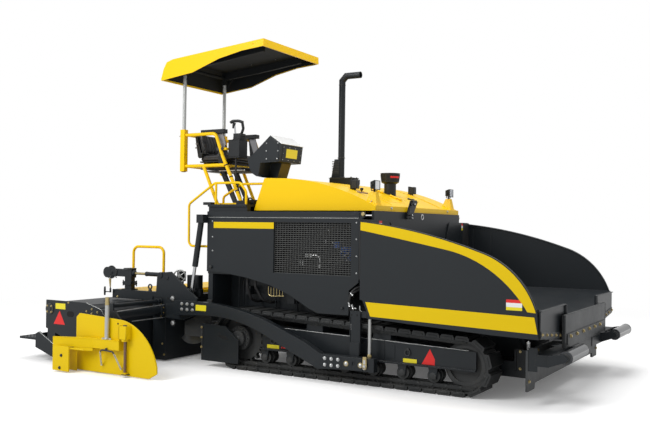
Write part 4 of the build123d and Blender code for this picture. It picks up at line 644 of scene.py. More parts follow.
WING_Y, WING_INSIDE_Y = 1400, 1370
CREST = arc_through((1062, 1557), (1680, 1458), (2236, 1300))
CREST += arc_through(CREST[-1], (2584, 1073), (2735, 801))[1:]
CREST_FOOT = arc_through((1062, 1471), (1500, 1390), (1926, 1308))
CREST_FOOT += arc_through(CREST_FOOT[-1], (2380, 1104), (2653, 807))[1:]
FILM = 1.4                      # thickness of the yellow bands


@pair(BAND, "wing_{side}")
def wing_crown(bm):
    upper = inset(CREST, 9)
    sheet_metal(bm, [(1062.5, 1547)] + upper[1:-1] + [(2724, 803)] + CREST_FOOT[::-1], "y", WING_Y,
        WING_Y + FILM)


@pair(BAND, "wing_{side}")
def wing_stripe(bm):
    sheet_metal(bm, [(1123, 804), (2712, 767), (2741, 628), (1176, 672)], "y", WING_Y, WING_Y + FILM)


@pair(BLACK, "wing_{side}")
def wing_rim(bm):
    """A rolled bead along the arched edge, inside the wing."""
    pipe(bm, [(x, WING_INSIDE_Y - 4, z - 8) for x, z in CREST[::2]], 7, sides=10)


@pair(BLACK, "wing_{side}", bevel=1)
def wing_seams(bm):
    """Weld seams and the strap that stiffen the inside of the tall wall."""
    y = WING_INSIDE_Y
    sheet_metal(bm, [(1064, 1543), (1285, 1507), (1285, 1493), (1064, 1527)], "y", y - 5, y)
    pipe(bm, [(1119, y - 1, 1500), (1122, y - 1, 1000)], 3.5, sides=8)
    pipe(bm, [(1347, y - 1, 1470), (1349, y - 1, 1000)], 2.5, sides=8)
    pipe(bm, [(1170, y - 2, 822), (1900, y - 2, 822), (2735, y - 2, 822)], 5, sides=8)


WARNING = (0.30, LABEL_YELLOW), (0.40, LABEL_WHITE), (0.30, RED)


def label(name, body, x0, x1, z0, z1, y, zones=((1, LABEL_YELLOW),)):
    """A blank sign on a side face: a film of one colour, or one strip of colour above another."""
    low = z0
    for index, (share, colour) in enumerate(zones):
        high = low + (z1 - z0) * share
        draw = lambda bm, low=low, high=high: sheet_metal(
            bm, [(x0, low), (x1, low), (x1, high), (x0, high)], "y", y - 0.5, y + 0.9)
        both_sides(f"{name}_{index}", colour, body, draw)
        low = high


label("wing_sign", "wing_{side}", 2470, 2608, 815, 905, WING_Y, WARNING)
print("wings dressed")

# %% [markdown]
# The engine bay's side panel is one large black plate with a cover strip along its top, a
# yellow stripe, a row of screws and a window of welded wire. The wire is a Geometry Nodes
# tree whose pitch and wire size are inputs: a flat texture would show no depth from the
# side, and wires drawn one by one would be hard to change. Behind the wire sit the cooler
# and the pipes that glint through it.

# %% Side panels
PANEL_Y = 1200


def mesh_tree():
    """Crossed wires that fill a rectangle: upright ones and level ones, each row a line of copies."""
    tree, source, result = geometry_tree("Welded wire", [("Width", "NodeSocketFloat", 0.9),
        ("Height", "NodeSocketFloat", 0.5), ("Upright Pitch", "NodeSocketFloat", 0.032),
        ("Level Pitch", "NodeSocketFloat", 0.021), ("Wire", "NodeSocketFloat", 0.0045),
        ("Material", "NodeSocketMaterial", None)])
    out = source.outputs
    join = add(tree, "GeometryNodeJoinGeometry")
    for across, along, upright in (("Width", "Height", True), ("Height", "Width", False)):
        pitch = out["Upright Pitch" if upright else "Level Pitch"]
        count = add(tree, "FunctionNodeFloatToInt", {0: maths(tree, "ADD",
            maths(tree, "DIVIDE", out[across], pitch), 1)}, rounding_mode="ROUND")
        start, step = add(tree, "ShaderNodeCombineXYZ"), add(tree, "ShaderNodeCombineXYZ")
        gap = maths(tree, "DIVIDE", out[across], maths(tree, "SUBTRACT", count.outputs[0], 1))
        low = maths(tree, "MULTIPLY", out[across], -0.5)
        tree.links.new(low, start.inputs["X" if upright else "Z"])
        tree.links.new(gap, step.inputs["X" if upright else "Z"])
        line = add(tree, "GeometryNodeMeshLine", {"Count": count.outputs[0],
            "Start Location": start.outputs[0], "Offset": step.outputs[0]}, mode="OFFSET")
        wire = add(tree, "GeometryNodeMeshCylinder", {"Vertices": 8, "Radius": out["Wire"],
            "Depth": out[along]})
        lean, shift = (0, 0.002) if upright else (pi / 2, -0.002)
        placing = {"Geometry": wire.outputs[0], "Rotation": (0, lean, 0), "Translation": (0, shift, 0)}
        turn = add(tree, "GeometryNodeTransform", placing)
        copies = add(tree, "GeometryNodeInstanceOnPoints", {"Points": line.outputs[0],
            "Instance": turn.outputs[0]})
        tree.links.new(copies.outputs[0], join.inputs[0])
    points = add(tree, "GeometryNodeInstanceOnPoints", {"Points": out["Geometry"],
        "Instance": join.outputs[0]})
    return finish_tree(tree, source, result, points.outputs[0])


WIRE_TREE = mesh_tree()


def wire_window(name, body, x0, x1, y, z0, z1, upright, level, wire, material):
    mesh = bpy.data.meshes.new("window")
    mesh.from_pydata([at((x0 + x1) / 2, y, (z0 + z1) / 2)], [], [])
    values = {"Width": (x1 - x0) / 1000, "Height": (z1 - z0) / 1000, "Upright Pitch": upright / 1000,
        "Level Pitch": level / 1000, "Wire": wire / 1000}
    return grow(name, mesh, WIRE_TREE, values, material, body)


def window_frame(bm):
    """The flat border that holds the wire, behind the edge of the opening."""
    for x0, x1, z0, z1 in ((-71, 864, 1540, 1554), (-71, 864, 1009, 1023), (-71, -57, 1009, 1554),
            (850, 864, 1009, 1554)):
        slab(bm, x0, x1, PANEL_Y - 24, PANEL_Y - 20, z0, z1)


@pair(BAND)
def panel_stripe(bm):
    sheet_metal(bm, [(-839, 1471), (-57, 1471), (-57, 1537), (-839, 1537)], "y", PANEL_Y, PANEL_Y + 1.2)


@pair(BLACK, bevel=1.5)
def panel_cover(bm):
    """The folded strip that closes the top of the panel: a flange, its turned edge and the end tabs."""
    sheet_metal(bm, [(-925, 1592), (938, 1592), (938, 1644), (-925, 1644)], "y", PANEL_Y, PANEL_Y + 5)
    pipe(bm, [(-925, PANEL_Y + 3, 1592), (938, PANEL_Y + 3, 1592)], 3, sides=8)
    sheet_metal(bm, [(938, 1560), (1005, 1600), (1005, 1648), (938, 1648)], "y", PANEL_Y - 6, PANEL_Y)


@pair(GALVANISED)
def panel_edge_highlight(bm):
    """A thin bright galvanised strip where the cover strip meets the panel, a painted highlight."""
    slab(bm, -918, 930, PANEL_Y, PANEL_Y + 1.5, 1583, 1588)


@pair(CAST)
def panel_slots(bm):
    for z in (1618, 1632):
        slab(bm, 800, 905, PANEL_Y + 5, PANEL_Y + 6.5, z, z + 4)


def turned_knob(bm, x, y, z, radius=17):
    turned_y(bm, x, z, y, y + 22, radius * 0.55, radius * 0.55, radius, radius, radius * 0.7, sides=20)


@pair(ZINC)
def bay_pipes(bm):
    """Bright lines in the engine bay: a bent charge pipe and short stubs with unions."""
    y = 1120
    pipe(bm, [(303, y, 1207), (420, y, 1210), (458, y, 1180), (461, y, 1105)], 13, 34)
    for x, z in ((461, 1105), (303, 1207), (350, 1208)):
        turned_y(bm, x, z, y - 4, y + 16, 18, sides=14)
    for x, z, length in ((560, 1440, 60), (520, 1330, 40), (600, 1330, 22), (250, 1110, 45),
            (220, 1110, 45), (565, 1140, 45), (820, 1450, 80)):
        turned_z(bm, x, y, z, z + length, 6, sides=10)


@pair(BLUE, bevel=2)
def bay_fittings(bm):
    """The valve block at the front of the bay, with unions that point out of it."""
    slab(bm, 690, 800, 1060, 1110, 1170, 1300)
    slab(bm, 600, 660, 1050, 1100, 1290, 1350)
    for i, (x, z) in enumerate(((700, 1240), (735, 1215), (765, 1262), (790, 1195), (715, 1285),
            (775, 1290))):
        turned(bm, (x, 1108, z), (x + 6, 1142 + 4 * (i % 3), z + 4), 13, 13, 9, 9, sides=12)


@pair(ZINC)
def bay_unions(bm):
    for x, z in ((748, 1225), (782, 1248), (705, 1262), (770, 1180), (640, 1335), (560, 1468)):
        turned(bm, (x, 1120, z), (x + 8, 1150, z - 6), 9, 11, 6, sides=10)


@pair(RUBBER)
def bay_hoses(bm):
    for a, b, drop in ((700, 420, 60), (735, 500, 90), (790, 560, 40), (620, 260, 70)):
        pipe(bm, [(a, 1135, 1240), (a - 30, 1128, 1240 - drop), (b + 40, 1120, 1150 - drop),
            (b, 1105, 1120)], 11, 60)


for word, side in SIDES:
    wire = wire_window(f"panel_mesh_{word}", "tractor", -57, 850, side * (PANEL_Y - 22), 1023, 1540, 32,
        20.7, 4, WIRE)
    make(f"panel_window_{word}", BLACK, "tractor", window_frame, side=side, slot="black_paint")
    if word == "left":
        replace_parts(wire, "side_screens")
bolts_both("panel_screws", "tractor", [(908, PANEL_Y, 1542), (910, PANEL_Y, 1382), (913, PANEL_Y, 1217),
    (915, PANEL_Y, 1054), (-855, PANEL_Y, 1543), (-852, PANEL_Y, 1377), (-849, PANEL_Y, 1228)], size=0.40)
both_sides("panel_knobs", CAST, "tractor", lambda bm: [turned_knob(bm, -864, PANEL_Y, 1052),
    turned_knob(bm, 765, PANEL_Y, 709, 13)])
both_sides("bay_knob", BRASS_ZINC, "tractor", lambda bm: turned_knob(bm, 985, PANEL_Y - 2, 1624, 20))
print("side panels dressed")

# %% [markdown]
# The tracks carry the densest detail. One Geometry Nodes tree sets a link boss and its pin on
# every point that it is given, turned to follow the track, so that the two plain rails read
# as rows of forged links. Rollers and sprocket get their caps, seals and bolts one by one.

# %% Tracks
TRACK_Y, SHOES, ROLLER_Z = 1100, 46, 147
SPROCKET, IDLER = (-475, 320), (2025, 270)
SHOE_TOP, PIN_LINE = 38, 61

BASE, DROP = IDLER[0] - SPROCKET[0], SPROCKET[1] - IDLER[1]
WRAP = 2 * asin(DROP / hypot(BASE, DROP))
FRONT, REAR = (IDLER[1] - PIN_LINE) * (pi - WRAP), (SPROCKET[1] - PIN_LINE) * (pi + WRAP)
TRACK_LENGTH = 2 * BASE + FRONT + REAR          # along the line of the pins
PITCH = TRACK_LENGTH / SHOES


def track_point(travel, depth):
    """A place on the track and its direction, by travel along the line of the pins."""
    base, front, wrap = BASE, FRONT, WRAP
    travel %= TRACK_LENGTH
    if travel < base:
        return (SPROCKET[0] + travel, depth), 0
    if travel < base + front:
        turn = (travel - base) / (IDLER[1] - PIN_LINE) - pi / 2
        return (IDLER[0] + (IDLER[1] - depth) * cos(turn), IDLER[1] + (IDLER[1] - depth)
            * sin(turn)), turn + pi / 2
    if travel < 2 * base + front:
        turn, back = pi / 2 - wrap, travel - base - front
        radius = IDLER[1] - depth
        return (IDLER[0] + radius * cos(turn) - back * sin(turn),
            IDLER[1] + radius * sin(turn) + back * cos(turn)), turn + pi / 2
    turn = pi / 2 - wrap + (travel - 2 * base - front) / (SPROCKET[1] - PIN_LINE)
    return (SPROCKET[0] + (SPROCKET[1] - depth) * cos(turn),
        SPROCKET[1] + (SPROCKET[1] - depth) * sin(turn)), turn + pi / 2


def link_tree():
    """A waisted link with a round boss, a pin and its head on each point, turned by the point's angle."""
    tree, source, result = geometry_tree("Links on points",
        [("Boss Radius", "NodeSocketFloat", 0.024), ("Pin Radius", "NodeSocketFloat", 0.011),
        ("Width", "NodeSocketFloat", 0.012), ("Length", "NodeSocketFloat", 0.10),
        ("Web Height", "NodeSocketFloat", 0.020), ("Material", "NodeSocketMaterial", None)])
    out = source.outputs
    boss = add(tree, "GeometryNodeMeshCylinder", {"Vertices": 16, "Radius": out["Boss Radius"],
        "Depth": out["Width"]})
    pin = add(tree, "GeometryNodeMeshCylinder", {"Vertices": 12, "Radius": out["Pin Radius"],
        "Depth": maths(tree, "MULTIPLY", out["Width"], 1.6)})
    size = add(tree, "ShaderNodeCombineXYZ", {"X": out["Length"], "Y": out["Web Height"],
        "Z": maths(tree, "MULTIPLY", out["Width"], 0.7)})
    web = add(tree, "GeometryNodeMeshCube", {"Size": size.outputs[0]})
    middle = add(tree, "ShaderNodeCombineXYZ", {"X": maths(tree, "MULTIPLY", out["Length"], 0.5)})
    moved = add(tree, "GeometryNodeTransform", {"Geometry": web.outputs[0], "Translation": middle.outputs[0]})
    join = add(tree, "GeometryNodeJoinGeometry")
    for part in (boss, pin, moved):
        tree.links.new(part.outputs[0], join.inputs[0])
    upright = add(tree, "GeometryNodeTransform", {"Geometry": join.outputs[0], "Rotation": (pi / 2, 0, 0)})
    angle = add(tree, "GeometryNodeInputNamedAttribute", {"Name": "angle"}, data_type="FLOAT")
    turn = add(tree, "ShaderNodeCombineXYZ", {"Y": maths(tree, "MULTIPLY", angle.outputs["Attribute"], -1)})
    copies = add(tree, "GeometryNodeInstanceOnPoints", {"Points": out["Geometry"],
        "Instance": upright.outputs[0], "Rotation": turn.outputs[0]})
    return finish_tree(tree, source, result, copies.outputs[0])


LINK_TREE = link_tree()


def track_links(word, side):
    """Two rows of links on each track, one link to a shoe."""
    for row, y in (("outer", 79), ("inner", 27)):
        points = [track_point((i + 0.5) * PITCH, PIN_LINE) for i in range(SHOES)]
        mesh = bpy.data.meshes.new("link points")
        mesh.from_pydata([at(x, side * (TRACK_Y + y), z) for (x, z), _ in points], [], [])
        angle = mesh.attributes.new("angle", "FLOAT", "POINT")
        angle.data.foreach_set("value", [turn for _, turn in points])
        grow(f"track_links_{row}_{word}", mesh, LINK_TREE, {"Length": PITCH / 1000, "Web Height": 0.026},
            TRACK, "tractor", bevel=1)


def shoe_bolts(word, side):
    """Four bolts a shoe, at the corners of its inner face."""
    for offset in (-22, 22):
        places, aims = [], []
        for i in range(SHOES):
            (x, z), turn = track_point((i + 0.5) * PITCH, SHOE_TOP)
            for y in (TRACK_Y + 106, TRACK_Y - 106):
                places.append(at(x + offset * cos(turn), side * y, z + offset * sin(turn)))
                aims += [-sin(turn), 0, cos(turn)]
        mesh = bpy.data.meshes.new("bolt points")
        mesh.from_pydata(places, [], [])
        mesh.attributes.new("facing", "FLOAT_VECTOR", "POINT").data.foreach_set("vector", aims)
        mesh.attributes.new("size", "FLOAT", "POINT").data.foreach_set("value", [0.75] * len(places))
        grow(f"shoe_bolts_{word}_{'front' if offset > 0 else 'rear'}", mesh, BOLT_TREE, {}, TRACK,
            "tractor")


@pair(TRACK, bevel=2)
def shoe_ends(bm):
    """The raised shoulder plate at each shoe's outer end, beside the rubber pad."""
    for i in range(SHOES):
        (x, z), turn = track_point((i + 0.5) * PITCH, 27)
        along, out = Vector((cos(turn), 0, sin(turn))), Vector((-sin(turn), 0, cos(turn)))
        block(bm, [Vector((x, y, z)) + along * a + out * o for a in (-PITCH * 0.30, PITCH * 0.30)
            for y in (TRACK_Y + 149.5, TRACK_Y + 156) for o in (-7, 7)])


@pair(CAST, slot="track_steel")
def roller_caps(bm):
    """Each track roller's end cap with its raised centre."""
    for i in range(7):
        x = -150 + i * 1870 / 6
        turned_y(bm, x, ROLLER_Z, 1196, 1206, 34, 34, 26, 26, 12, sides=24)


@pair(CAST, slot="track_steel")
def wheel_caps(bm):
    """Stepped cover on the final drive, and the seal ring round it."""
    x, z = SPROCKET
    turned_y(bm, x, z, 1225, 1232, 74, 74, 70, sides=40)
    turned_y(bm, x, z, 1232, 1238, 26, 24, 18, sides=24)
    hoop(bm, (x, 1196, z), (0, 1, 0), 119, 5, sides=40)


@pair(BLACK)
def track_frame_edges(bm):
    """The flange's rolled edge and the plates that close the track frame's ends."""
    pipe(bm, [(-205, 1215, 240), (2110, 1215, 240)], 3.5, sides=8)
    for x0, x1 in ((60, 66), (1215, 1221)):
        slab(bm, x0, x1, 1184, 1189, 250, 440)
    outline = [(1230, 300), (1262, 268), (1330, 268), (1330, 392), (1290, 420), (1230, 420)]
    sheet_metal(bm, outline, "y", 1185, 1189)


@pair(GALVANISED)
def track_frame_line(bm):
    """A thin bright line along the upper flange, a painted highlight."""
    pipe(bm, [(-120, 1186, 468), (1080, 1186, 436), (2060, 1186, 408)], 3, sides=8)


@pair(CAST)
def lifting_rings(bm):
    for x, z in ((-50, 330), (1465, 345)):
        turned_y(bm, x, z + 24, 1184, 1194, 14, sides=16)
        pipe(bm, [(x - 9, 1194, z + 24), (x - 26, 1197, z + 4), (x - 24, 1200, z - 22), (x, 1201, z - 36),
            (x + 24, 1200, z - 22), (x + 26, 1197, z + 4), (x + 9, 1194, z + 24)], 5, 14, sides=10)


def red_triangle(bm, x0, x1, z0, z1, y):
    sheet_metal(bm, [(x0, z0), (x1, z0), ((x0 + x1) / 2, z1)], "y", y - 0.4, y + 1)


for word, side in SIDES:
    track_links(word, side)
    shoe_bolts(word, side)
both_sides("frame_triangle_rear", RED, "tractor", lambda bm: red_triangle(bm, 44, 204, 256, 400, 1185))
both_sides("frame_triangle_front", RED, "tractor", lambda bm: red_triangle(bm, 1604, 1766, 246, 390, 1185))
label("frame_sign_rear", "tractor", -128, 19, 246, 283, 1185)
label("frame_sign_front", "tractor", 1415, 1555, 246, 283, 1185)
bolts_both("sprocket_bolts", "tractor", [(x, 1225, z) for x, z in circle_points(*SPROCKET, 62, 10)],
    size=0.5, material=CAST)
bolts_both("hub_bolts", "tractor", [(x, 1195, z) for x, z in circle_points(*SPROCKET, 104, 16)], size=0.65,
    material=CAST)
print("tracks dressed")

# %% [markdown]
# Under the side panel's arch the hull carries hoses and a wire guard. The tow point stands
# beside it: a guide column with holes and a scale, a chromed rod with a brass clevis, and
# the tow arm that ends in it, with its bolts, big nuts and blank sign.

# %% Tow arms, guides and deflectors
ARM_Y, GUIDE_Y, DEFLECTOR_Y = 1375, 1281, 1278


@pair(BLACK, "screed", bevel=2.5)
def tow_arm_pad(bm):
    """The doubled block at the arm's front end, with a square hole in it."""
    left, right, low, high = 870, 1092, 152, 273
    for x0, x1, z0, z1 in ((left, 980, low, high), (1014, right, low, high), (980, 1014, low, 199),
            (980, 1014, 231, high)):
        slab(bm, x0, x1, ARM_Y - 1, ARM_Y + 8, z0, z1)


@pair(BLACK, "screed", bevel=1)
def tow_arm_splice(bm):
    """The cover plates under the two groups of bolts."""
    sheet_metal(bm, [(640, 275), (866, 275), (866, 150), (668, 150), (640, 160)], "y", ARM_Y, ARM_Y + 3)


@pair(BLACK, "screed", bevel=1)
def tow_arm_rear_splice(bm):
    sheet_metal(bm, [(-1160, 566), (-940, 566), (-930, 690), (-1150, 688)], "y", ARM_Y, ARM_Y + 3)


@pair(BRASS_ZINC, "screed", bevel=1)
def tow_nut_rims(bm):
    for x, z in ((917, 210), (1070, 208)):
        turned_y(bm, x, z, ARM_Y + 8, ARM_Y + 12, 25)


@pair(ZINC, "screed")
def tow_nuts(bm):
    for x, z in ((917, 210), (1070, 208)):
        turned_y(bm, x, z, ARM_Y + 11, ARM_Y + 24, 18, 18, 13, 5, sides=24)


@pair(SHADE_IN_HOLES)
def guide_holes(bm):
    """Painted shade discs that stand in for the column's bolt holes."""
    for x, z in ((913, 660), (972, 662), (915, 305), (960, 305)):
        turned_y(bm, x, z, GUIDE_Y, GUIDE_Y + 1.5, 8, sides=16)


@pair(LABEL_WHITE)
def guide_scale(bm):
    for i in range(8):
        z = 322 + i * 8
        slab(bm, 900, 914 if i % 4 else 924, GUIDE_Y, GUIDE_Y + 1, z, z + 2)
    for i in range(5):
        slab(bm, 900, 912, GUIDE_Y, GUIDE_Y + 1, 520 + i * 12, 522 + i * 12)


@pair(BLACK, bevel=1.5)
def guide_flanges(bm):
    """Folded edges that stiffen the column."""
    slab(bm, 896, 904, GUIDE_Y, GUIDE_Y + 6, 395, 640)
    slab(bm, 1002, 1010, GUIDE_Y, GUIDE_Y + 6, 290, 690)


@pair(GALVANISED, "tow_carriages", slot="chrome")
def tow_rod_sleeve(bm):
    turned_z(bm, 1115, 1289, 300, 636, 16.3)


@pair(BRASS_ZINC, "tow_carriages", bevel=1)
def tow_clevis(bm):
    """Brass-coloured clevis that joins the rod to the carriage, with its split pin."""
    turned_z(bm, 1115, 1289, 268, 306, 20, 24, 18, sides=24)
    for y0, y1 in ((1376.5, 1382), (1386, 1391)):
        sheet_metal(bm, [(1092, 205), (1098, 290), (1132, 290), (1140, 205), (1128, 172), (1104, 172)], "y",
            y0, y1)


@pair(ZINC, "tow_carriages")
def tow_clevis_pin(bm):
    turned_y(bm, 1116, 205, 1386, 1399, 16, 16, 12, sides=20)
    slab(bm, 1106, 1126, 1390, 1394, 226, 262)
    hoop(bm, (1116, 1398, 186), (0, 1, 0), 12, 2.2, sides=20, ring_sides=6)


@pair(CAST)
def deflector_hinge(bm):
    """A folded lip along the deflector's top, and the hinge strip at its rear edge."""
    pipe(bm, [(-912, DEFLECTOR_Y + 1, 108), (-911, DEFLECTOR_Y + 1, 424)], 7)
    for z in (120, 190, 260, 330, 400):
        turned_z(bm, -911, DEFLECTOR_Y + 1, z, z + 26, 10, sides=14)


@pair(SHADE_IN_HOLES)
def deflector_slot(bm):
    """The hand hole, drawn as a flat sheet of painted shade set in the plate's face."""
    outline = [(-673, 349), (-580, 325), (-560, 312), (-558, 302), (-572, 298), (-600, 303), (-640, 304),
        (-668, 322), (-690, 326), (-692, 340)]
    sheet_metal(bm, outline, "y", DEFLECTOR_Y - 0.5, DEFLECTOR_Y + 0.8)


@pair(BRASS_ZINC)
def arch_guard(bm):
    """Wire guard over the drive's valves: three rods bent in steps."""
    y = 1120
    for drop in (0, 22):
        pipe(bm, [(-169, y, 872 - drop), (-167, y, 794 - drop * 0.4), (-136, y, 773), (29, y, 782)], 4, 12,
            sides=8)
    for x in (-136, -100, -64, -28, 8):
        pipe(bm, [(x, y, 776), (x, y, 862)], 3.5, sides=8)


@pair(BLACK, bevel=2)
def arch_lines(bm):
    """Steel lines and valves on the hull's side, under the arch."""
    for x, low, high in ((-700, 600, 960), (-640, 620, 900), (-215, 640, 900), (60, 600, 820)):
        pipe(bm, [(x, 912, low), (x, 912, high), (x + 60, 912, high + 60)], 9, 24, sides=10)
    slab(bm, -560, -500, 905, 985, 760, 850)
    slab(bm, -20, 70, 905, 990, 690, 800)
    turned_z(bm, 60, 940, 690, 830, 26, 26, 18, sides=20)


@pair(ZINC)
def notch_fittings(bm):
    """Hose ends in the gap between the panel and the wing."""
    for x, z, dx, dz in ((872, 862, 26, -24), (850, 772, 12, -40), (884, 752, 16, -38)):
        turned(bm, (x, 1226, z), (x + dx, 1232, z + dz), 11, 11, 8, 8, 11, sides=14)
    pipe(bm, [(905, 1228, 706), (915, 1232, 722), (935, 1230, 716)], 6, 8, sides=10)
    pipe(bm, [(966, 1216, 745), (968, 1216, 700), (996, 1216, 684)], 6, 10, sides=10)


@pair(RUBBER)
def notch_hoses(bm):
    for shift in (0, 28):
        pipe(bm, [(945, 1150, 930 - shift), (905, 1205, 905 - shift), (868, 1226, 862 - shift * 0.6),
            (852, 1226, 800 - shift), (856, 1222, 745), (850 + shift, 1190, 690)], 11, 40)


bolts_both("tow_bolts_rear", "screed", [(x, ARM_Y + 3, z) for x in (-1114, -1040, -967)
    for z in (655, 596)], size=0.92)
bolts_both("tow_bolts_front", "screed", [(x, ARM_Y + 3, z) for x in (679, 751, 824) for z in (239, 178)],
    size=0.88)
label("tow_sign", "screed", -925, -784, 594, 655, ARM_Y)
bolts_both("deflector_bolts", "tractor", [(-912, DEFLECTOR_Y + 8, 303), (-912, DEFLECTOR_Y + 8, 201),
    (-912, DEFLECTOR_Y + 8, 410)], size=0.7, material=BRASS_ZINC)
print("tow arms and deflectors dressed")

# %% [markdown]
# The screed hangs on the arms: its brackets, the height jack with its chain wheel and crank,
# the handwheel and the guide tubes' flanges are all bare, bolted machinery.

# %% Screed hardware
BRACKET_Y, SCREED_Y = 1300, 1290
JACK_Y = 1240


@pair(CAST, "screed", bevel=1.5)
def bracket_bosses(bm):
    for x, z in ((-1308, 696), (-1302, 428)):
        turned_y(bm, x, z, BRACKET_Y, BRACKET_Y + 6, 34)


@pair(ZINC, "screed")
def bracket_bolts(bm):
    for x, z in ((-1308, 696), (-1302, 428)):
        turned_y(bm, x, z, BRACKET_Y + 6, BRACKET_Y + 22, 26, 26, 20, 12, sides=6)
        turned_y(bm, x, z, BRACKET_Y + 18, BRACKET_Y + 28, 12, 10, sides=16)


# Painted shade: a near-black disc stands in for the shade inside the bracket's hole.
@pair(SHADE_IN_HOLES, "screed")
def bracket_hole(bm):
    turned_y(bm, -1378, 693, BRACKET_Y, BRACKET_Y + 1, 13, sides=18)


@pair(BLACK, "screed")
def beam_lips(bm):
    """The long bracket's rolled upper edge."""
    pipe(bm, [(-2216, BRACKET_Y - 3, 750), (-1560, BRACKET_Y - 3, 750)], 4, sides=8)


@pair(BLACK, "screed", bevel=1.5)
def tube_flange(bm):
    """Clamp ring round the extension's guide tube where it enters the screed."""
    for radius, y0, y1 in ((78, 0, 16), (66, 16, 44), (80, 44, 56)):
        collar(bm, -1500, 560, 56.5, radius, SCREED_Y + y0, SCREED_Y + y1, 40)


@pair(BLACK, "screed", bevel=1)
def thin_tube_flange(bm):
    for radius, y0, y1 in ((38, 0, 20), (34, 48, 60)):
        collar(bm, -1500, 655, 24, radius, SCREED_Y + y0, SCREED_Y + y1, 28)


@pair(BLACK, "screed")
def jack_wheel(bm):
    """The jack's sprocket and its hub."""
    x, z, teeth = -2262, 942, 22
    outline = []
    for i, angle in enumerate(around(teeth * 2)):
        radius = 74 if i % 2 else 64
        outline.append((x + radius * cos(angle), z + radius * sin(angle)))
    sheet_metal(bm, outline, "y", 1272, 1280)
    turned_y(bm, x, z, 1266, 1292, 26, 26, 18, 18, sides=24)


@pair(CAST, "screed")
def jack_chain(bm):
    """Links round the wheel and down to the crank's shaft."""
    x, z = -2262, 942
    route = [(x + 74, 882)] + [(x + 74 * cos(a), z + 74 * sin(a))
        for a in (radians(d) for d in range(-30, 200, 12))]
    route += [(x - 72, 890), (x - 48, 880)]
    for (x0, z0), (x1, z1) in zip(route, route[1:]):
        turned(bm, (x0, 1276, z0), (x1, 1276, z1), 7, 4.5, 7, sides=8)


@pair(BLACK, "screed", bevel=2.5)
def jack_case(bm):
    """Square collar on the slide, the post's clamp and the pad under it."""
    slab(bm, -2062, -1958, JACK_Y - 52, JACK_Y + 52, 990, 1000)
    slab(bm, -1978, -1950, JACK_Y - 40, JACK_Y + 40, 890, 996)
    turned_x(bm, JACK_Y, 942, -1950, -1922, 34, 34, 24, sides=24)
    slab(bm, -2085, -1940, JACK_Y - 60, JACK_Y + 56, 752, 764)
    slab(bm, -2075, -1948, JACK_Y - 54, JACK_Y + 50, 806, 850)


@pair(CAST, "screed")
def jack_wing_nuts(bm):
    """Hand screws through the clamp, each with two wings."""
    for x, way in ((-2085, -1), (-1936, 1)):
        turned_x(bm, JACK_Y, 828, x, x + way * 34, 9, sides=12)
        for turn in (-1, 1):
            sheet_metal(bm, [(x + way * 18, 828), (x + way * 22, 828 + turn * 30),
                (x + way * 34, 828 + turn * 34), (x + way * 36, 828 + turn * 4)], "y", JACK_Y - 3,
                JACK_Y + 3)


@pair(BRASS_ZINC, "screed")
def jack_rod(bm):
    turned_x(bm, JACK_Y, 942, -1925, -1755, 14.5, sides=20)


@pair(CAST, "screed", bevel=1)
def turnbuckle_ends(bm):
    turned_x(bm, JACK_Y, 942, -1763, -1740, 25.5, 27, 25.5, sides=24)
    turned_x(bm, JACK_Y, 942, -1563, -1540, 25.5, 27, 25.5, sides=24)


@pair(BLACK, "screed", bevel=2)
def upright_bosses(bm):
    """Pivot bosses on the bracket's upright, where the buckle ends."""
    for x, z, radius in ((-1496, 942, 33), (-1400, 915, 22)):
        turned_y(bm, x, z, JACK_Y - 8, BRACKET_Y + 8, radius)


@pair(CAST, "screed")
def jack_crank(bm):
    """Crank shaft hung from the chain wheel, its arm and loose handle."""
    pipe(bm, [(-2262, 1292, 905), (-2250, 1315, 880), (-2222, 1330, 740)], 7, 10, sides=10)
    turned(bm, (-2226, 1328, 762), (-2222, 1330, 715), 11, sides=14)
    pipe(bm, [(-2222, 1330, 722), (-2295, 1330, 722)], 6, sides=10)
    turned_z(bm, -2312, 1330, 680, 780, 9, 12, 12, 9, sides=16)


@pair(BRASS_ZINC, "screed")
def jack_cone(bm):
    turned(bm, (-2243, 1320, 872), (-2226, 1328, 750), 15, 5, sides=16)


@pair(CAST, "screed")
def screed_lifting_eye(bm):
    hoop(bm, (-1679, 1262, 803), (0, 1, 0), 24, 9)
    turned_z(bm, -1679, 1262, 750, 782, 20, 20, 13, sides=18)


@pair(GALVANISED, "screed", slot="zinc")
def handwheel(bm):
    """Spoked handwheel of the screed's depth setting, on its short column."""
    x, y, z = -1330, 1170, 933
    hoop(bm, (x, y, z), (0.5, 1, 0), 66, 8, sides=36)
    turn = Vector((0.5, 1, 0)).to_track_quat("Z", "Y")
    for angle in around(5):
        tip = Vector((x, y, z)) + turn @ Vector((62 * cos(angle), 62 * sin(angle), 0))
        turned(bm, (x, y, z), tip, 8, 5, sides=10)
    turned(bm, Vector((x, y, z)) - Vector((10, 20, 0)), Vector((x, y, z)) + Vector((10, 20, 0)), 20, sides=20)


@pair(BLACK, "screed", bevel=3)
def handwheel_column(bm):
    """The column and gearbox that the handwheel turns, on the bracket's inner side."""
    x, z = -1330, 933
    turned(bm, (x, 1168, z), (x - 26, 1120, z), 15, sides=18)
    slab(bm, x - 66, x + 14, 1080, 1140, z - 60, z + 50)
    slab(bm, x - 46, x - 6, 1090, 1130, 650, z - 58)


@pair(PLASTIC, "screed", bevel=3)
def screed_switch_box(bm):
    """Switch box beside the handwheel, on a folded foot."""
    slab(bm, -1228, -1070, 1085, 1165, 795, 950)
    slab(bm, -1222, -1076, 1165, 1169, 801, 944)
    slab(bm, -1250, -1050, 1095, 1155, 715, 797)


@pair(ZINC, "extension_{side}")
def extension_rods(bm):
    """Measuring rods that run out over the extension."""
    for y0, z0, y1, z1 in ((2025, 601, 1300, 621), (1796, 482, 1300, 482)):
        turned(bm, (-1430, y1, z1), (-1430, y0, z0), 5, sides=10)


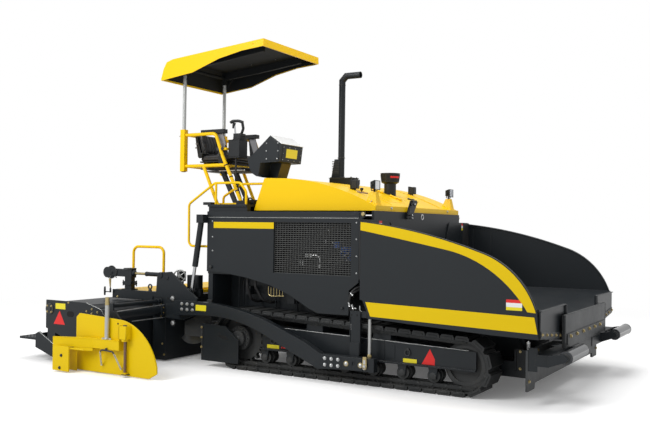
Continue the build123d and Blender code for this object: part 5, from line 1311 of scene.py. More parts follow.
bolts_both("flange_bolts", "screed", [(x, SCREED_Y + 16, z) for x,
    z in circle_points(-1500, 560, 71, 8, 0.4)], size=0.4, material=BRASS_ZINC)
bolts_both("screed_bolts", "screed", [(x, SCREED_Y, z) for x, z in ((-1433, 70), (-1461, 188))], size=0.6,
    material=BRASS_ZINC)
bolts_both("beam_bolts", "screed", [(-2140, BRACKET_Y, 672)], size=0.7, material=BRASS_ZINC)
print("screed dressed")

# %% [markdown]
# The extension ends in a plate with a bolted cap, blank signs and a hand hole. Outside it
# the yellow end gate rides on its own bracket, and carries a zinc crank post, a spring rod
# and two short chains.

# %% Extensions and end gates
END_Y, GATE_Y, CHANNEL_Y = 2050, 2210, 2270


@pair(CAST, "extension_{side}", bevel=2, slot="black_paint")
def end_cap(bm):
    x, z = -2389, 574
    turned_y(bm, x, z, END_Y, END_Y + 8, 60, sides=40)
    turned_y(bm, x, z, END_Y + 8, END_Y + 16, 26, sides=24)


@pair(SHADE_IN_HOLES, "extension_{side}")
def end_hole(bm):
    """The oval hand hole, drawn as a flat sheet of painted shade."""
    centre, half, radius = (-2070, 536), 24, 30
    outline = [(centre[0] + way * half + radius * cos(a + start), centre[1] + radius * sin(a + start))
        for way, start in ((1, -pi / 2), (-1, pi / 2)) for a in (pi * k / 10 for k in range(11))]
    sheet_metal(bm, outline, "y", END_Y - 0.4, END_Y + 0.9)


@pair(GALVANISED, "extension_{side}")
def end_edge(bm):
    """A thin bright line along the plate's sloped top edge, a painted highlight."""
    pipe(bm, [(-1836, END_Y - 2, 669), (-1623, END_Y - 2, 611), (-1500, END_Y - 2, 480)], 2.5, sides=8)


@pair(BLACK, "extension_{side}")
def cover_ribs(bm):
    """Folds in the sliding cover: they catch the light along its length."""
    for x, z in ((-1760, 609.5), (-1850, 640)):
        pipe(bm, [(x, 880, z), (x, 2028, z)], 3, sides=8)


@pair(GALVANISED, "extension_{side}")
def tray_lining(bm):
    """A bright galvanised sheet laid inside the step."""
    sheet_metal(bm, [(-2590, 149), (-2300, 61), (-2300, 63), (-2590, 151)], "y", 1530, 2026)


# Painted highlight: a thin bright line along the step's edge.
@pair(GALVANISED, "extension_{side}")
def tray_edge(bm):
    pipe(bm, [(-2610, END_Y, 290), (-2557, END_Y, 315), (-2284, END_Y, 178)], 3, sides=8)


@pair(BLACK, "extension_{side}")
def tread_pattern(bm):
    """Raised teardrops on the tread board."""
    for i in range(9):
        for j in range(22):
            x, y = -2850 + i * 27, 1040 + j * 46 + (i % 2) * 23
            turned_z(bm, x, y, 245, 248, 8, 5, sides=6)


@pair(RED, "extension_{side}")
def tray_latch(bm):
    pipe(bm, [(-2252, 2040, 200), (-2252, 2040, 232), (-2215, 2040, 244)], 7, 6, sides=10)


@pair(GALVANISED, "end_gate_{side}", slot="zinc")
def gate_post(bm):
    """Zinc tube over the gate's lifting screw, with a tapered top."""
    turned_z(bm, -1340, 2235, 352, 690, 22.5)
    turned_z(bm, -1340, 2235, 352, 366, 34, 30)


@pair(BRASS_ZINC, "end_gate_{side}")
def gate_post_top(bm):
    turned_z(bm, -1340, 2235, 690, 724, 24, 21.5, sides=24)
    turned_z(bm, -1340, 2235, 724, 768, 21.2, 20.8, sides=24)


@pair(BAND, "end_gate_{side}")
def gate_channel_lips(bm):
    """Folded edges of the gate's bracket, along its straight and its slanted part."""
    for z in (258, 347):
        pipe(bm, [(-1142, CHANNEL_Y, z), (-1500, CHANNEL_Y, z), (-1930, 2400, z)], 3, sides=8)
    slab(bm, -1930, -1500, 2385, 2388, 240, 255)
    sheet_metal(bm, [(-1500, 2270), (-1500, 2262), (-1700, 2320), (-1700, 2330)], "z", 222, 256)


@pair(BAND, "end_gate_{side}", bevel=1)
def gate_leg_web(bm):
    slab(bm, -1842, -1723, 2262, 2268, 4, 238)


@pair(BAND, "end_gate_{side}", bevel=2)
def gate_spring_case(bm):
    """The folded case round the spring tube."""
    slab(bm, -1135, -1127, GATE_Y, GATE_Y + 72, 352, 505)
    slab(bm, -1043, -1035, GATE_Y, GATE_Y + 72, 372, 500)
    slab(bm, -1135, -1035, GATE_Y + 66, GATE_Y + 72, 372, 500)


@pair(RUST, "end_gate_{side}")
def gate_spring_rod(bm):
    turned_z(bm, -1085, 2240, 46, 372, 13.2, sides=20)


@pair(CAST, "end_gate_{side}", bevel=1)
def gate_rod_shoe(bm):
    sheet_metal(bm, [(-1125, 2210), (-1045, 2210), (-1055, 2266), (-1110, 2266)], "z", 24, 30)
    turned_z(bm, -1085, 2244, 500, 508, 22, 18, sides=20)


@pair(CAST, "end_gate_{side}")
def gate_chain_bar(bm):
    turned_z(bm, -1300, 2282, 270, 240, 12, 9, sides=14)
    pipe(bm, [(-1378, 2282, 232), (-1360, 2282, 246), (-1300, 2282, 248), (-1212, 2282, 240),
        (-1194, 2282, 222)], 8, 10, sides=10)


def gate_chain(word, side, start, end):
    """Short chain: each link is an oval ring, turned a quarter from the last."""
    first, last = Vector(start), Vector(end)
    count = 8

    def draw(bm):
        way = (last - first).normalized()
        across = way.cross(Vector((0, 1, 0))).normalized()
        for i in range(count):
            centre = first.lerp(last, (i + 0.5) / count)
            sideways = across if i % 2 else Vector((0, 1, 0))
            ring = [centre + way * 14.5 * cos(a) + sideways * 7.5 * sin(a) for a in around(14)]
            pipe(bm, ring, 3.6, sides=6, closed=True)
        turned(bm, last - Vector((0, 12, 0)), last + Vector((0, 6, 0)), 8, sides=12)
    return make(f"gate_chain_{'rear' if start[0] < -1300 else 'front'}_{word}", ZINC, f"end_gate_{word}",
        draw, side=side, slot="zinc")


# Painted shade: a near-black disc stands in for the shade inside the gate's hole.
@pair(SHADE_IN_HOLES, "end_gate_{side}")
def gate_hole(bm):
    turned_y(bm, -1215, 511, GATE_Y, GATE_Y + 1, 10, sides=20)


@pair(RED, "extension_{side}")
def end_triangle(bm):
    sheet_metal(bm, [(-2326, 416), (-2151, 416), (-2236, 562)], "y", END_Y - 0.4, END_Y + 1)


bolts_both("end_cap_bolts", "extension_{side}", [(x, END_Y + 8, z) for x,
    z in circle_points(-2389, 574, 45, 4, 0.78)], size=0.55, material=BRASS_ZINC)
label("end_sign", "extension_{side}", -2300, -2149, 580, 641, END_Y)
bolts_both("end_plate_bolts", "extension_{side}", [(x, END_Y, z) for x,
    z in ((-1829, 582), (-1751, 608), (-1754, 562), (-1671, 581), (-2101, 655))], size=0.55,
    material=BRASS_ZINC)
bolts_both("gate_foot_bolts", "end_gate_{side}", [(x, 2240, 350) for x in (-1388, -1290)], (0, 0, 1),
    size=0.8)
bolts_both("gate_side_bolts", "end_gate_{side}", [(-1803, 2400, 169), (-1824, 2400, 43)], size=0.8,
    material=CAST)
for word, side in SIDES:
    gate_chain(word, side, (-1382, 2282, 228), (-1412, 2230, 88))
    gate_chain(word, side, (-1190, 2282, 218), (-1146, 2230, 70))
print("extensions dressed")

# %% [markdown]
# The hopper's open end shows bolted plates, the flap with its wear strip, and the push beam.
# Behind the hopper stands the bulkhead with its corner plates and the hood's latch.

# %% Hopper front and bulkhead
LIP_X, FLAP_X, BULKHEAD_X = 2757, 2811, 1045


@pair(HOPPER, "wing_{side}", bevel=1.5)
def wing_lip_edges(bm):
    """Folded flanges that frame the wing's front plate."""
    cross = [(610, 828), (1372, 820), (1372, 812), (610, 820)]
    sheet_metal(bm, cross, "x", LIP_X, LIP_X + 14)
    sheet_metal(bm, [(604, 508), (616, 508), (616, 826), (604, 826)], "x", LIP_X, LIP_X + 18)


@pair(HOPPER, "wing_{side}", bevel=1.5)
def wing_lip_wear_plate(bm):
    sheet_metal(bm, [(620, 512), (1365, 592), (1365, 650), (620, 572)], "x", LIP_X, LIP_X + 6)


@single(HOPPER, bevel=2, slot="black_paint")
def flap_frame(bm):
    """The flap's turned edges and its two stiff ribs."""
    for y in (-796, 784):
        slab(bm, FLAP_X - 30, FLAP_X + 3, y, y + 12, 450, 740)
    slab(bm, FLAP_X - 24, FLAP_X + 2, -798, 798, 736, 744)


@pair(BLACK, bevel=2)
def push_beam_ends(bm):
    """Doubled plates where the push beam meets the guard plate, and the roller arms' weld pads."""
    sheet_metal(bm, [(1230, 292), (1256, 292), (1256, 496), (1230, 460)], "x", 2620, 2700)
    slab(bm, 2801, 2806, 900, 1190, 345, 436)
    slab(bm, 2801, 2806, 250, 620, 345, 436)


# Painted shade: near-black strips stand in for the shade inside the push beam's slots.
@pair(SHADE_IN_HOLES)
def push_beam_slots(bm):
    for z in (360, 405):
        slab(bm, 2801, 2802.5, 660, 860, z, z + 12)


@pair(CAST, "push_roller_{side}", slot="roller_steel")
def roller_ends(bm):
    """Turned collars and grease caps at the ends of a push roller."""
    low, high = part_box("push_roller_left")
    x, z = (low.x + high.x) / 2 * 1000 + MIDDLE_X, (low.z + high.z) / 2 * 1000
    for y, way in ((low.y * 1000, -1), (high.y * 1000, 1)):
        turned_y(bm, x, z, y, y + way * 4, 40, 34, sides=32)
        hoop(bm, (x, y - way * 12, z), (0, 1, 0), 55.2, 2, sides=40, ring_sides=6)


@pair(ZINC)
def guard_spring(bm):
    """Spring bolt that holds the guard plate's upper corner."""
    turned_z(bm, 2612, 1228, 470, 545, 7, sides=12)
    coil = [(2612 + 14 * cos(t * 0.9), 1228 + 14 * sin(t * 0.9), 478 + t * 1.15) for t in range(42)]
    pipe(bm, coil, 2.6, sides=6)
    turned_z(bm, 2612, 1228, 526, 534, 17, sides=6)


@pair(BLACK, bevel=1.5)
def corner_plate(bm):
    """Fixed plate that closes the corner between the bulkhead and the folded-out wing."""
    outline = [(660, 1010), (682, 1379), (738, 1520), (760, 1553), (796, 1572), (1362, 1572), (1362, 1010)]
    sheet_metal(bm, outline, "x", 1046, 1054)
    flange = [(680, 1372), (735, 1522), (758, 1556), (770, 1550), (747, 1516), (692, 1370)]
    sheet_metal(bm, flange, "x", 1050, 1061)


@single(BLACK, bevel=1)
def hood_latch(bm):
    """Over-centre latch that ties the hood's lip to the bulkhead: two cheeks, a bar and a hook."""
    cheek = [(-300, 1786), (-232, 1792), (-205, 1768), (-262, 1700), (-290, 1660), (-330, 1590),
        (-392, 1588), (-372, 1660), (-345, 1712)]
    for x0 in (1050, 1088):
        sheet_metal(bm, cheek, "x", x0, x0 + 8)
    slab(bm, 1046, 1100, -384, -334, 1600, 1608)
    turned_x(bm, -290, 1745, 1040, 1104, 12, sides=16)
    turned_x(bm, -352, 1630, 1040, 1104, 9, sides=16)
    pipe(bm, [(1075, -300, 1775), (1060, -220, 1798), (1010, -170, 1800), (960, -160, 1812)], 9, 20)


@single(ZINC)
def hood_latch_pins(bm):
    for y, z in ((-290, 1745), (-352, 1630), (-345, 1600)):
        turned_x(bm, y, z, 1104, 1110, 9, 7, sides=12)


@single(LABEL_WHITE)
def ring_mark(bm):
    """A plain white ring painted round the filler's key hole."""
    hoop(bm, (BULKHEAD_X + 1, 31, 1618), (1, 0, 0), 26, 5.5, sides=36, ring_sides=8)


@single(CAST, bevel=1)
def key_plug(bm):
    turned_x(bm, 31, 1618, BULKHEAD_X, BULKHEAD_X + 6, 16, 14, sides=20)


@single(YELLOW, bevel=3)
def hood_front_lip(bm):
    """The hood's folded front lip over the bulkhead."""
    slab(bm, 1036, 1048, -1064, 1064, 1672, 1716)


def sign_strip(name, y0, y1, z0, z1, zones):
    low = z0
    for index, (share, colour) in enumerate(zones):
        high = low + (z1 - z0) * share
        make(f"{name}_{index}", colour, "tractor", lambda bm, low=low,
            high=high: slab(bm, 1054, 1055.2, y0, y1, low, high))
        low = high


sign_strip("far_corner_sign", 1150, 1212, 1482, 1562, WARNING)
sign_strip("near_corner_sign", -1010, -946, 1484, 1564, WARNING)
bolts_both("lip_bolts", "wing_{side}", [(LIP_X + 6, 650 + i * 138, 546 + i * 14.8) for i in range(6)],
    (1, 0, 0), size=0.75, material=BRASS_ZINC)
bolts("flap_bolts", "tractor", [(2823, y, 545) for y in (-656, -426, -190, 44, 268, 495)], (1, 0, 0),
    size=0.95, material=BRASS_ZINC)
bolts("hood_lip_bolts", "tractor", [(1048, y, 1694) for y in (-732, 719)], (1, 0, 0), size=0.7)
bolts_both("guard_bolts", "tractor", [(2620, 1225, 400), (2620, 1225, 318), (2620, 1225, 200)], (1, 0, 0),
    size=0.8, material=BRASS_ZINC)
bolts_both("hinge_block_bolts", "tractor", [(2620, 1130, 440), (2620, 980, 440)], (1, 0, 0), size=0.7,
    material=BRASS_ZINC)
print("hopper and bulkhead dressed")

# %% [markdown]
# The hood carries small black hardware: strap latches, a round knob on its drain cock, a
# short lamp at each side and two work lamps on stands, each with a reflector and a ribbed
# lens. The exhaust gets its bands and louvres, and the air cleaner its slots and its band.

# %% Hood, lamps, exhaust
LAMP_X, LAMP_Y = 997, 950


@pair(LENS)
def lamp_lens(bm):
    """Domed lens with upright ribs, set in the lamp's rim."""
    for i in range(8):
        y = LAMP_Y - 47 + i * 12
        slab(bm, LAMP_X + 1, LAMP_X + 4 + 3 * sin(pi * (i + 0.5) / 8), y, y + 10.6, 1876, 1957)


@pair(MIRROR)
def lamp_reflector(bm):
    turned_x(bm, LAMP_Y, 1917, LAMP_X - 1.5, LAMP_X + 0.5, 44, sides=4)
    slab(bm, LAMP_X - 0.5, LAMP_X + 0.8, LAMP_Y - 50, LAMP_Y + 50, 1875, 1959)


@pair(LABEL_WHITE)
def lamp_bulb(bm):
    turned_x(bm, LAMP_Y, 1917, LAMP_X + 0.8, LAMP_X + 3.5, 15, 12, sides=20)


@pair(PLASTIC, bevel=1.5)
def lamp_rim(bm):
    for y0, y1, z0, z1 in ((-55, -49, 1871, 1963), (49, 55, 1871, 1963), (-55, 55, 1871, 1877),
            (-55, 55, 1957, 1963)):
        slab(bm, LAMP_X - 6, LAMP_X + 8, LAMP_Y + y0, LAMP_Y + y1, z0, z1)


@pair(CAST)
def lamp_bracket(bm):
    """Bow that holds the lamp on its stand, with a clamp bolt each side."""
    pipe(bm, [(965, LAMP_Y - 62, 1915), (965, LAMP_Y - 62, 1862), (965, LAMP_Y + 62, 1862),
        (965, LAMP_Y + 62, 1915)], 4.5, 8, sides=8)
    turned_y(bm, 965, 1915, LAMP_Y - 66, LAMP_Y + 66, 8, sides=12)


@pair(PLASTIC, bevel=5)
def side_lamp(bm):
    """Small square lamp on the hood's shoulder."""
    slab(bm, 580, 648, 668, 734, 1898, 1984)
    slab(bm, 572, 584, 662, 740, 1892, 1990)
    turned_z(bm, 612, 700, 1868, 1900, 10, sides=14)
    slab(bm, 590, 634, 680, 720, 1860, 1872)


def strap_latch(bm, x, y, z, length, slope):
    """Rubber pull strap with a T-shaped end, hooked in its keeper."""
    end = (x + length, y + 10, z - length * slope)
    pipe(bm, [(x, y, z), ((x + end[0]) / 2, y + 4, (z + end[2]) / 2 + 8), end], 8, sides=8)
    turned_y(bm, x - 4, z + 3, y - 22, y + 22, 7, sides=12)
    slab(bm, end[0] - 10, end[0] + 14, end[1] - 16, end[1] + 16, end[2] - 10, end[2] + 9)


@single(RUBBER)
def hood_straps(bm):
    strap_latch(bm, 746, -6, 1826, 88, 0.40)
    strap_latch(bm, 820, 300, 1800, 30, 0.45)
    strap_latch(bm, 930, 560, 1745, 30, 0.5)


@single(YELLOW)
def hood_seams(bm):
    """Pressed seams that run down the hood's slope."""
    for y in (-620, 620):
        route = [(420, y, 1943), (600, y, 1893), (780, y, 1830), (900, y, 1780), (1000, y, 1733)]
        pipe(bm, route, 3, sides=8)


@single(RUST)
def drain_rod(bm):
    """Brown rod across the shoulder with its black knob."""
    pipe(bm, [(690, -800, 1860), (815, -800, 1842)], 7, sides=10)
    pipe(bm, [(700, -780, 1846), (700, -780, 1868)], 6, sides=10)


@single(PLASTIC)
def drain_knob(bm):
    turned_z(bm, 744, -800, 1852, 1900, 6, 5, 12, 20, 15, sides=18)


@single(CAST)
def exhaust_bands(bm):
    """Clamp and weld collar on the exhaust pipe and its mitred elbow."""
    for z in (2072, 2290):
        hoop(bm, (41, 0, z), (0, 0, 1), 40, 4, sides=36, ring_sides=6)
    hoop(bm, (41, 0, 3126), (0, 0, 1), 38.5, 2.5, sides=36, ring_sides=6)


@single(CAST, bevel=1)
def exhaust_louvres(bm):
    """Louvres pressed in the guard behind the exhaust."""
    for i in range(8):
        z = 2112 + i * 19
        slab(bm, -53, 40, -49, -44, z, z + 8)


@single(CAST, bevel=3)
def exhaust_box_lid(bm):
    slab(bm, -76, 231, -81, 81, 2052, 2060)
    slab(bm, 226, 262, -48, 48, 1985, 2040)
    turned_x(bm, 0, 2012, 262, 276, 24, 20, sides=20)


@single(PLASTIC)
def cleaner_louvres(bm):
    """Slots round the air cleaner's drum and the ring under its lid."""
    x = 667
    for a in around(28):
        way = Vector((cos(a), sin(a), 0))
        foot = Vector((x, 0, 2010)) + way * 97
        top = Vector((x, 0, 2082)) + way * 106
        pipe(bm, [foot, top], 2.6, sides=6)
    hoop(bm, (x, 0, 2096), (0, 0, 1), 106, 4, sides=44, ring_sides=8)
    turned_z(bm, x, 0, 2092, 2104, 70, 60, 20, sides=36)


@single(RED)
def cleaner_band(bm):
    """Red reflective band, plain, on the side that faces forward."""
    x = 667
    outer = [(x + 105.5 * cos(a), 105.5 * sin(a)) for a in (radians(-62 + k * 8) for k in range(9))]
    inner = [(x + 101 * cos(a), 101 * sin(a)) for a in (radians(-62 + k * 8) for k in range(9))]
    sheet_metal(bm, outer + inner[::-1], "z", 2044, 2066)


bolts("hood_side_bolts", "tractor", [(960, y, 1756) for y in (-1000, 1000)], (0.4, 0, 0.9), size=0.5)
bolts_both("exhaust_box_bolts", "tractor", [(x, 66, 2060) for x in (-56, 208)], (0, 0, 1), size=0.55,
    material=CAST)
print("hood dressed")

# %% [markdown]
# The console is a folded black box: a side plate with a row of bolts, a pale sheet on its
# slope, a blank yellow plate on its front and, below, a leaning pedestal whose front is olive-brown.
# The lever box beside the seat has a two-legged grip.

# %% Console and controls
CONSOLE_Y0, CONSOLE_Y1 = -1020, -590
CONSOLE_FRONT = (-106, 2360), (-129, 2179)


def console_body(bm):
    """Folded upper box with its rounded chin, and the leaning pedestal on the hood."""
    sheet_metal(bm, [(-537, 2207), (-244, 2457), CONSOLE_FRONT[0], CONSOLE_FRONT[1], (-366, 2173),
        (-391, 2040), (-330, 2014), (-420, 2030), (-468, 2058), (-512, 2118)], "y", CONSOLE_Y0, CONSOLE_Y1)
    sheet_metal(bm, [(-380, 2185), (-226, 2183), (-287, 1998), (-380, 1998)], "y", -820, -640)
    slab(bm, -400, -270, -850, -620, 1998, 2012)


@single(BLACK, bevel=1)
def console_side_plate(bm):
    """Bolted cover plate on the console's side."""
    sheet_metal(bm, [(-300, 2399), (-246, 2444), (-140, 2370), (-133, 2190), (-305, 2194)], "y",
        CONSOLE_Y0 - 3, CONSOLE_Y0)


@single(SHEET, bevel=1)
def console_slope_sheet(bm):
    """A pale sheet on the slope that faces forward."""
    sheet_metal(bm, [(-243, 2458.5), (-100, 2362.5), (-98, 2366), (-242, 2462)], "y", CONSOLE_Y0 + 1,
        CONSOLE_Y1 - 1)


def front_plate(bm, share, y0, y1, out):
    """A plate on the console's front face, between two shares of its height."""
    high, low = Vector((CONSOLE_FRONT[0][0], 0, CONSOLE_FRONT[0][1])), Vector(
        (CONSOLE_FRONT[1][0], 0, CONSOLE_FRONT[1][1]))
    p, q = high.lerp(low, share[0]), high.lerp(low, share[1])
    sheet_metal(bm, [(p.x, p.z), (q.x, q.z), (q.x + out, q.z - out * 0.13), (p.x + out, p.z - out * 0.13)],
        "y", y0, y1)


@single(BLACK, bevel=1)
def console_front_cover(bm):
    """Screwed cover set in the front face."""
    front_plate(bm, (0.09, 0.93), CONSOLE_Y0 + 45, CONSOLE_Y1 - 22, 3)


@single(LABEL_YELLOW)
def console_sign(bm):
    """Blank plate on the front face."""
    front_plate(bm, (0.22, 0.74), -906, -692, 4.2)


@single(BROWN)
def pedestal_front(bm):
    """Olive-brown sheet on the pedestal's front."""
    sheet_metal(bm, [(-226, 2179), (-287, 2000), (-285, 1999.5), (-224, 2178.5)], "y", -820, -640)


@single(BLACK)
def console_shelf_edge(bm):
    """The shelf's edges, folded over."""
    for a, b in (((-366, 2173), (-391, 2040)), ((-366, 2173), (-129, 2179))):
        pipe(bm, [(a[0], CONSOLE_Y0, a[1]), (b[0], CONSOLE_Y0, b[1])], 3, sides=8)


@single(PLASTIC)
def console_gauges(bm):
    """Round gauges and switches on the face that looks at the seat."""
    start, end = Vector((-537, 0, 2207)), Vector((-244, 0, 2457))
    normal = Vector((-0.649, 0, 0.761))
    for share, y, radius in ((0.35, -930, 34), (0.35, -840, 34), (0.35, -750, 34), (0.6, -940, 22),
            (0.6, -880, 22), (0.6, -820, 22), (0.6, -760, 22), (0.6, -700, 22)):
        centre = start.lerp(end, share)
        centre.y = y
        turned(bm, centre - normal * 3, centre + normal * 6, radius, radius, radius * 0.86)


@single(GREY_PLASTIC)
def console_switches(bm):
    start, end = Vector((-537, 0, 2207)), Vector((-244, 0, 2457))
    normal = Vector((-0.649, 0, 0.761))
    for i in range(7):
        centre = start.lerp(end, 0.8)
        centre.y = -970 + i * 54
        turned(bm, centre - normal * 2, centre + normal * 22, 8, 8, 5, 5, 9, sides=14)


@single(PLASTIC, bevel=3)
def lever_box_covers(bm):
    """Lids and rubber boot of the lever box."""
    slab(bm, -795, -637, -1028, -882, 2424, 2434)
    slab(bm, -790, -642, -1029, -1024, 2250, 2420)
    for i in range(4):
        z = 2436 + i * 15
        slab(bm, -748 + i * 3, -644 - i * 3, -1010 + i * 3, -900 - i * 3, z, z + 9)


@single(MIRROR, slot="chrome")
def grip_leg(bm):
    """The grip's two bright legs."""
    pipe(bm, [(-728, -985, 2495), (-740, -988, 2600)], 10, sides=14)


@single(PLASTIC)
def grip_leg_moulded(bm):
    pipe(bm, [(-668, -960, 2495), (-640, -962, 2555), (-652, -965, 2618)], 15, 12, sides=14)


@single(PLASTIC)
def grip(bm):
    """Moulded bar across the legs."""
    pipe(bm, [(-790, -995, 2624), (-765, -993, 2640), (-690, -980, 2640), (-640, -968, 2622)], 16, 16,
        sides=16)
    turned(bm, (-752, -990, 2560), (-744, -990, 2622), 15, 19, sides=16)


@single(CAST)
def lever_box_joint(bm):
    """Hand screw and swivel on the box's arm."""
    turned_y(bm, -905, 2335, -1066, -1000, 22, sides=20)
    turned_y(bm, -840, 2335, -1064, -1078, 12, 18, 14, sides=12)
    turned_y(bm, -882, 2268, -1064, -1084, 10, 14, sides=12)


console = make("console_box", BLACK, "tractor", console_body, bevel=2.5, slot="black_paint")
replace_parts(console, "console")
bolts("console_bolts", "tractor", [(x, CONSOLE_Y0 - 3, z) for x,
    z in ((-287, 2376), (-142, 2373), (-289, 2295), (-141, 2290), (-287, 2210), (-150, 2209))], (0, -1, 0),
    size=0.36)
bolts("console_screws", "tractor", [(-112 - 0.127 * (2360 - z) + 9, y, z) for y in (-960, -850, -740, -625)
    for z in (2334, 2202)] + [(-117, y, 2268) for y in (-960, -625)], (1, 0, -0.13), size=0.24)
print("console dressed")

# %% [markdown]
# The seat's cushion and back are real padding: a rounded block, slightly smaller than the
# finished pad, is remeshed, blown up as cloth without gravity, held to a few millimetres of
# swell, and then sewn. The sewn channels and the seam round the sides are pressed in last.

# %% Seat
def padding_form(name, profile, y0, y1, rounding):
    """The pad's start: a side profile across the seat, with rounded edges, in even small faces."""
    bm = bmesh.new()
    sheet_metal(bm, profile, "y", y0, y1)
    bmesh.ops.recalc_face_normals(bm, faces=bm.faces)
    bmesh.ops.bevel(bm, geom=bm.edges[:], offset=rounding, segments=4, profile=0.5, affect="EDGES")
    for vert in bm.verts:
        vert.co = at(*vert.co)
    mesh = bpy.data.meshes.new(name)
    bm.to_mesh(mesh)
    bm.free()
    form = bpy.data.objects.new(name, mesh)
    bpy.context.collection.objects.link(form)
    even = form.modifiers.new("Even faces", "REMESH")
    even.mode, even.voxel_size = "VOXEL", 0.006
    bpy.context.view_layer.update()
    result = bpy.data.meshes.new_from_object(form.evaluated_get(bpy.context.evaluated_depsgraph_get()))
    bpy.data.objects.remove(form)
    return result


def blown_up(mesh, cap):
    """The pad under pressure: cloth for twenty frames, each point held to the cap, then one subdivision."""
    pad = bpy.data.objects.new("pad", mesh)
    bpy.context.collection.objects.link(pad)
    start = [vert.co.copy() for vert in mesh.vertices]
    cloth = pad.modifiers.new("Cloth", "CLOTH").settings
    cloth.use_pressure, cloth.uniform_pressure_force = True, 4
    cloth.effector_weights.gravity = 0
    for step in range(1, 21):
        bpy.context.scene.frame_set(step)
    swollen = pad.evaluated_get(bpy.context.evaluated_depsgraph_get()).to_mesh()
    moves = [swollen.vertices[i].co - before for i, before in enumerate(start)]
    pad.modifiers.clear()
    for vert, before, move in zip(mesh.vertices, start, moves):
        vert.co = before + move * min(1, cap / max(move.length, 1e-9))
    bpy.context.scene.frame_set(1)
    smoother = pad.modifiers.new("Smoother", "SUBSURF")
    smoother.levels = 1
    bpy.context.view_layer.update()
    result = bpy.data.meshes.new_from_object(pad.evaluated_get(bpy.context.evaluated_depsgraph_get()))
    bpy.data.objects.remove(pad)
    return result


def sewn(mesh, face, along, first, pitch, count, seam_level, seam_axis):
    """Presses channels into the pad's face and one seam round its sides."""
    normals = [vert.normal.copy() for vert in mesh.vertices]
    for vert, normal in zip(mesh.vertices, normals):
        faces = normal.dot(face)
        depth = 0
        if faces > 0.3:
            nearest = min(abs(vert.co[along] - first - pitch * i) for i in range(count))
            depth = 0.0065 * exp(-(nearest / 0.0055) ** 2) * min(1, (faces - 0.3) * 2.5)
        if abs(normal[seam_axis]) < 0.75:
            depth = max(depth, 0.004 * exp(-((vert.co[seam_axis] - seam_level(vert.co)) / 0.004) ** 2))
        vert.co -= normal * depth
    return mesh


CUSHION = [(-1276, 2226), (-1276, 2282), (-1160, 2283), (-960, 2291), (-830, 2289), (-813, 2264),
    (-818, 2226)]
BACK = [(-1250, 2301), (-1212, 2301), (-1206, 2345), (-1224, 2420), (-1256, 2500), (-1272, 2528),
    (-1322, 2528), (-1306, 2440), (-1280, 2350)]
cushion_mesh = sewn(blown_up(padding_form("cushion", CUSHION, -918, -462, 14), 0.010), Vector((0, 0, 1)), 1,
    -0.885, 0.065, 7, lambda p: 2.252, 2)
back_mesh = sewn(blown_up(padding_form("back", BACK, -908, -472, 14), 0.009), Vector((0.94, 0, 0.34)), 1,
    -0.855, 0.055, 7, lambda p: -1.330 - 0.30 * (p.z - 2.40), 0)
cushion_pad = dress("seat_cushion_pad", cushion_mesh, VINYL, "tractor", smooth=80)
back_pad = dress("seat_back_pad", back_mesh, VINYL, "tractor", smooth=80)
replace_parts(cushion_pad, "seat_cushion")
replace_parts(back_pad, "seat_back")


@single(PLASTIC, bevel=3)
def seat_shell(bm):
    """Moulded shell behind the back, with side wings that hold the pad."""
    sheet_metal(bm, [(-1291, 2292), (-1318, 2440), (-1335, 2530), (-1347, 2530), (-1334, 2440),
        (-1304, 2286)], "y", -900, -480)
    for y in (-926, -464):
        sheet_metal(bm, [(-1230, 2284), (-1262, 2330), (-1290, 2420), (-1312, 2520), (-1346, 2524),
            (-1332, 2430), (-1302, 2284)], "y", y, y + 10)


@single(PLASTIC, bevel=4)
def seat_pan(bm):
    """Pan under the cushion, with a turned-up rim."""
    slab(bm, -1282, -812, -912, -468, 2206, 2222)
    slab(bm, -1200, -860, -870, -510, 2142, 2208)


@single(PLASTIC, bevel=2)
def recliner_covers(bm):
    """Round covers over the hinge between cushion and back."""
    for y, way in ((-928, -1), (-454, 1)):
        turned_y(bm, -1262, 2288, y, y + 12 * way, 34, 34, 28)


@single(GREY_PLASTIC, bevel=2)
def belt_clips(bm):
    for x, z in ((-1318, 2420), (-1322, 2376)):
        slab(bm, x - 14, x + 12, -932, -924, z - 9, z + 9)


@single(PLASTIC, bevel=2)
def belt_buckle(bm):
    pipe(bm, [(-1235, -935, 2290), (-1215, -938, 2330), (-1196, -936, 2352)], 9, 10, sides=10)
    slab(bm, -1214, -1182, -946, -928, 2346, 2372)


print("seat sewn", len(cushion_mesh.polygons), len(back_mesh.polygons))

# %% [markdown]
# The canopy is yellow outside. Inside, a lining of thin near-black sheet follows the shell as
# painted shade, the arms and their tie are in the same painted shade, and only the shell's lower
# edge stays yellow. The round galvanised posts slide in the station's square sleeves with clamp bolts.

# %% Canopy and station
ROOF_INSIDE = [(-210, 3424), (-1423, 3321.5), (-1499, 3300.5), (-1541.5, 3235), (-1574.5, 3131)]
ROOF_EDGE = [(-1574.5, 3120), (-1137, 3169), (-778, 3287), (-475, 3343), (-210, 3364)]
ROOF_Y0, ROOF_Y1 = -1223, -157


# Painted shade: near-black sheets line the shell's inside and its side skirts.
@single(SHADE_SHEET, "canopy")
def roof_shade_sheet(bm):
    inner = [(x + 1.5 * (x < -1423), z - 2) for x, z in ROOF_INSIDE]
    sheet_metal(bm, ROOF_INSIDE + inner[::-1], "y", ROOF_Y0 + 0.5, ROOF_Y1 - 0.5)
    for y in (ROOF_Y0 + 0.5, ROOF_Y1 - 2.5):
        sheet_metal(bm, ROOF_INSIDE + ROOF_EDGE, "y", y, y + 2)
    slab(bm, -211.5, -209.5, ROOF_Y0 + 2, ROOF_Y1 - 2, 3364, 3423)


@single(RUBBER, "canopy")
def roof_edging(bm):
    """Dark rubber edging round the shell's lower edge."""
    for y in (ROOF_Y0 - 5.5, ROOF_Y1 + 5.5):
        pipe(bm, [(x, y, z - 5.5) for x, z in ROOF_EDGE], 3, sides=8)


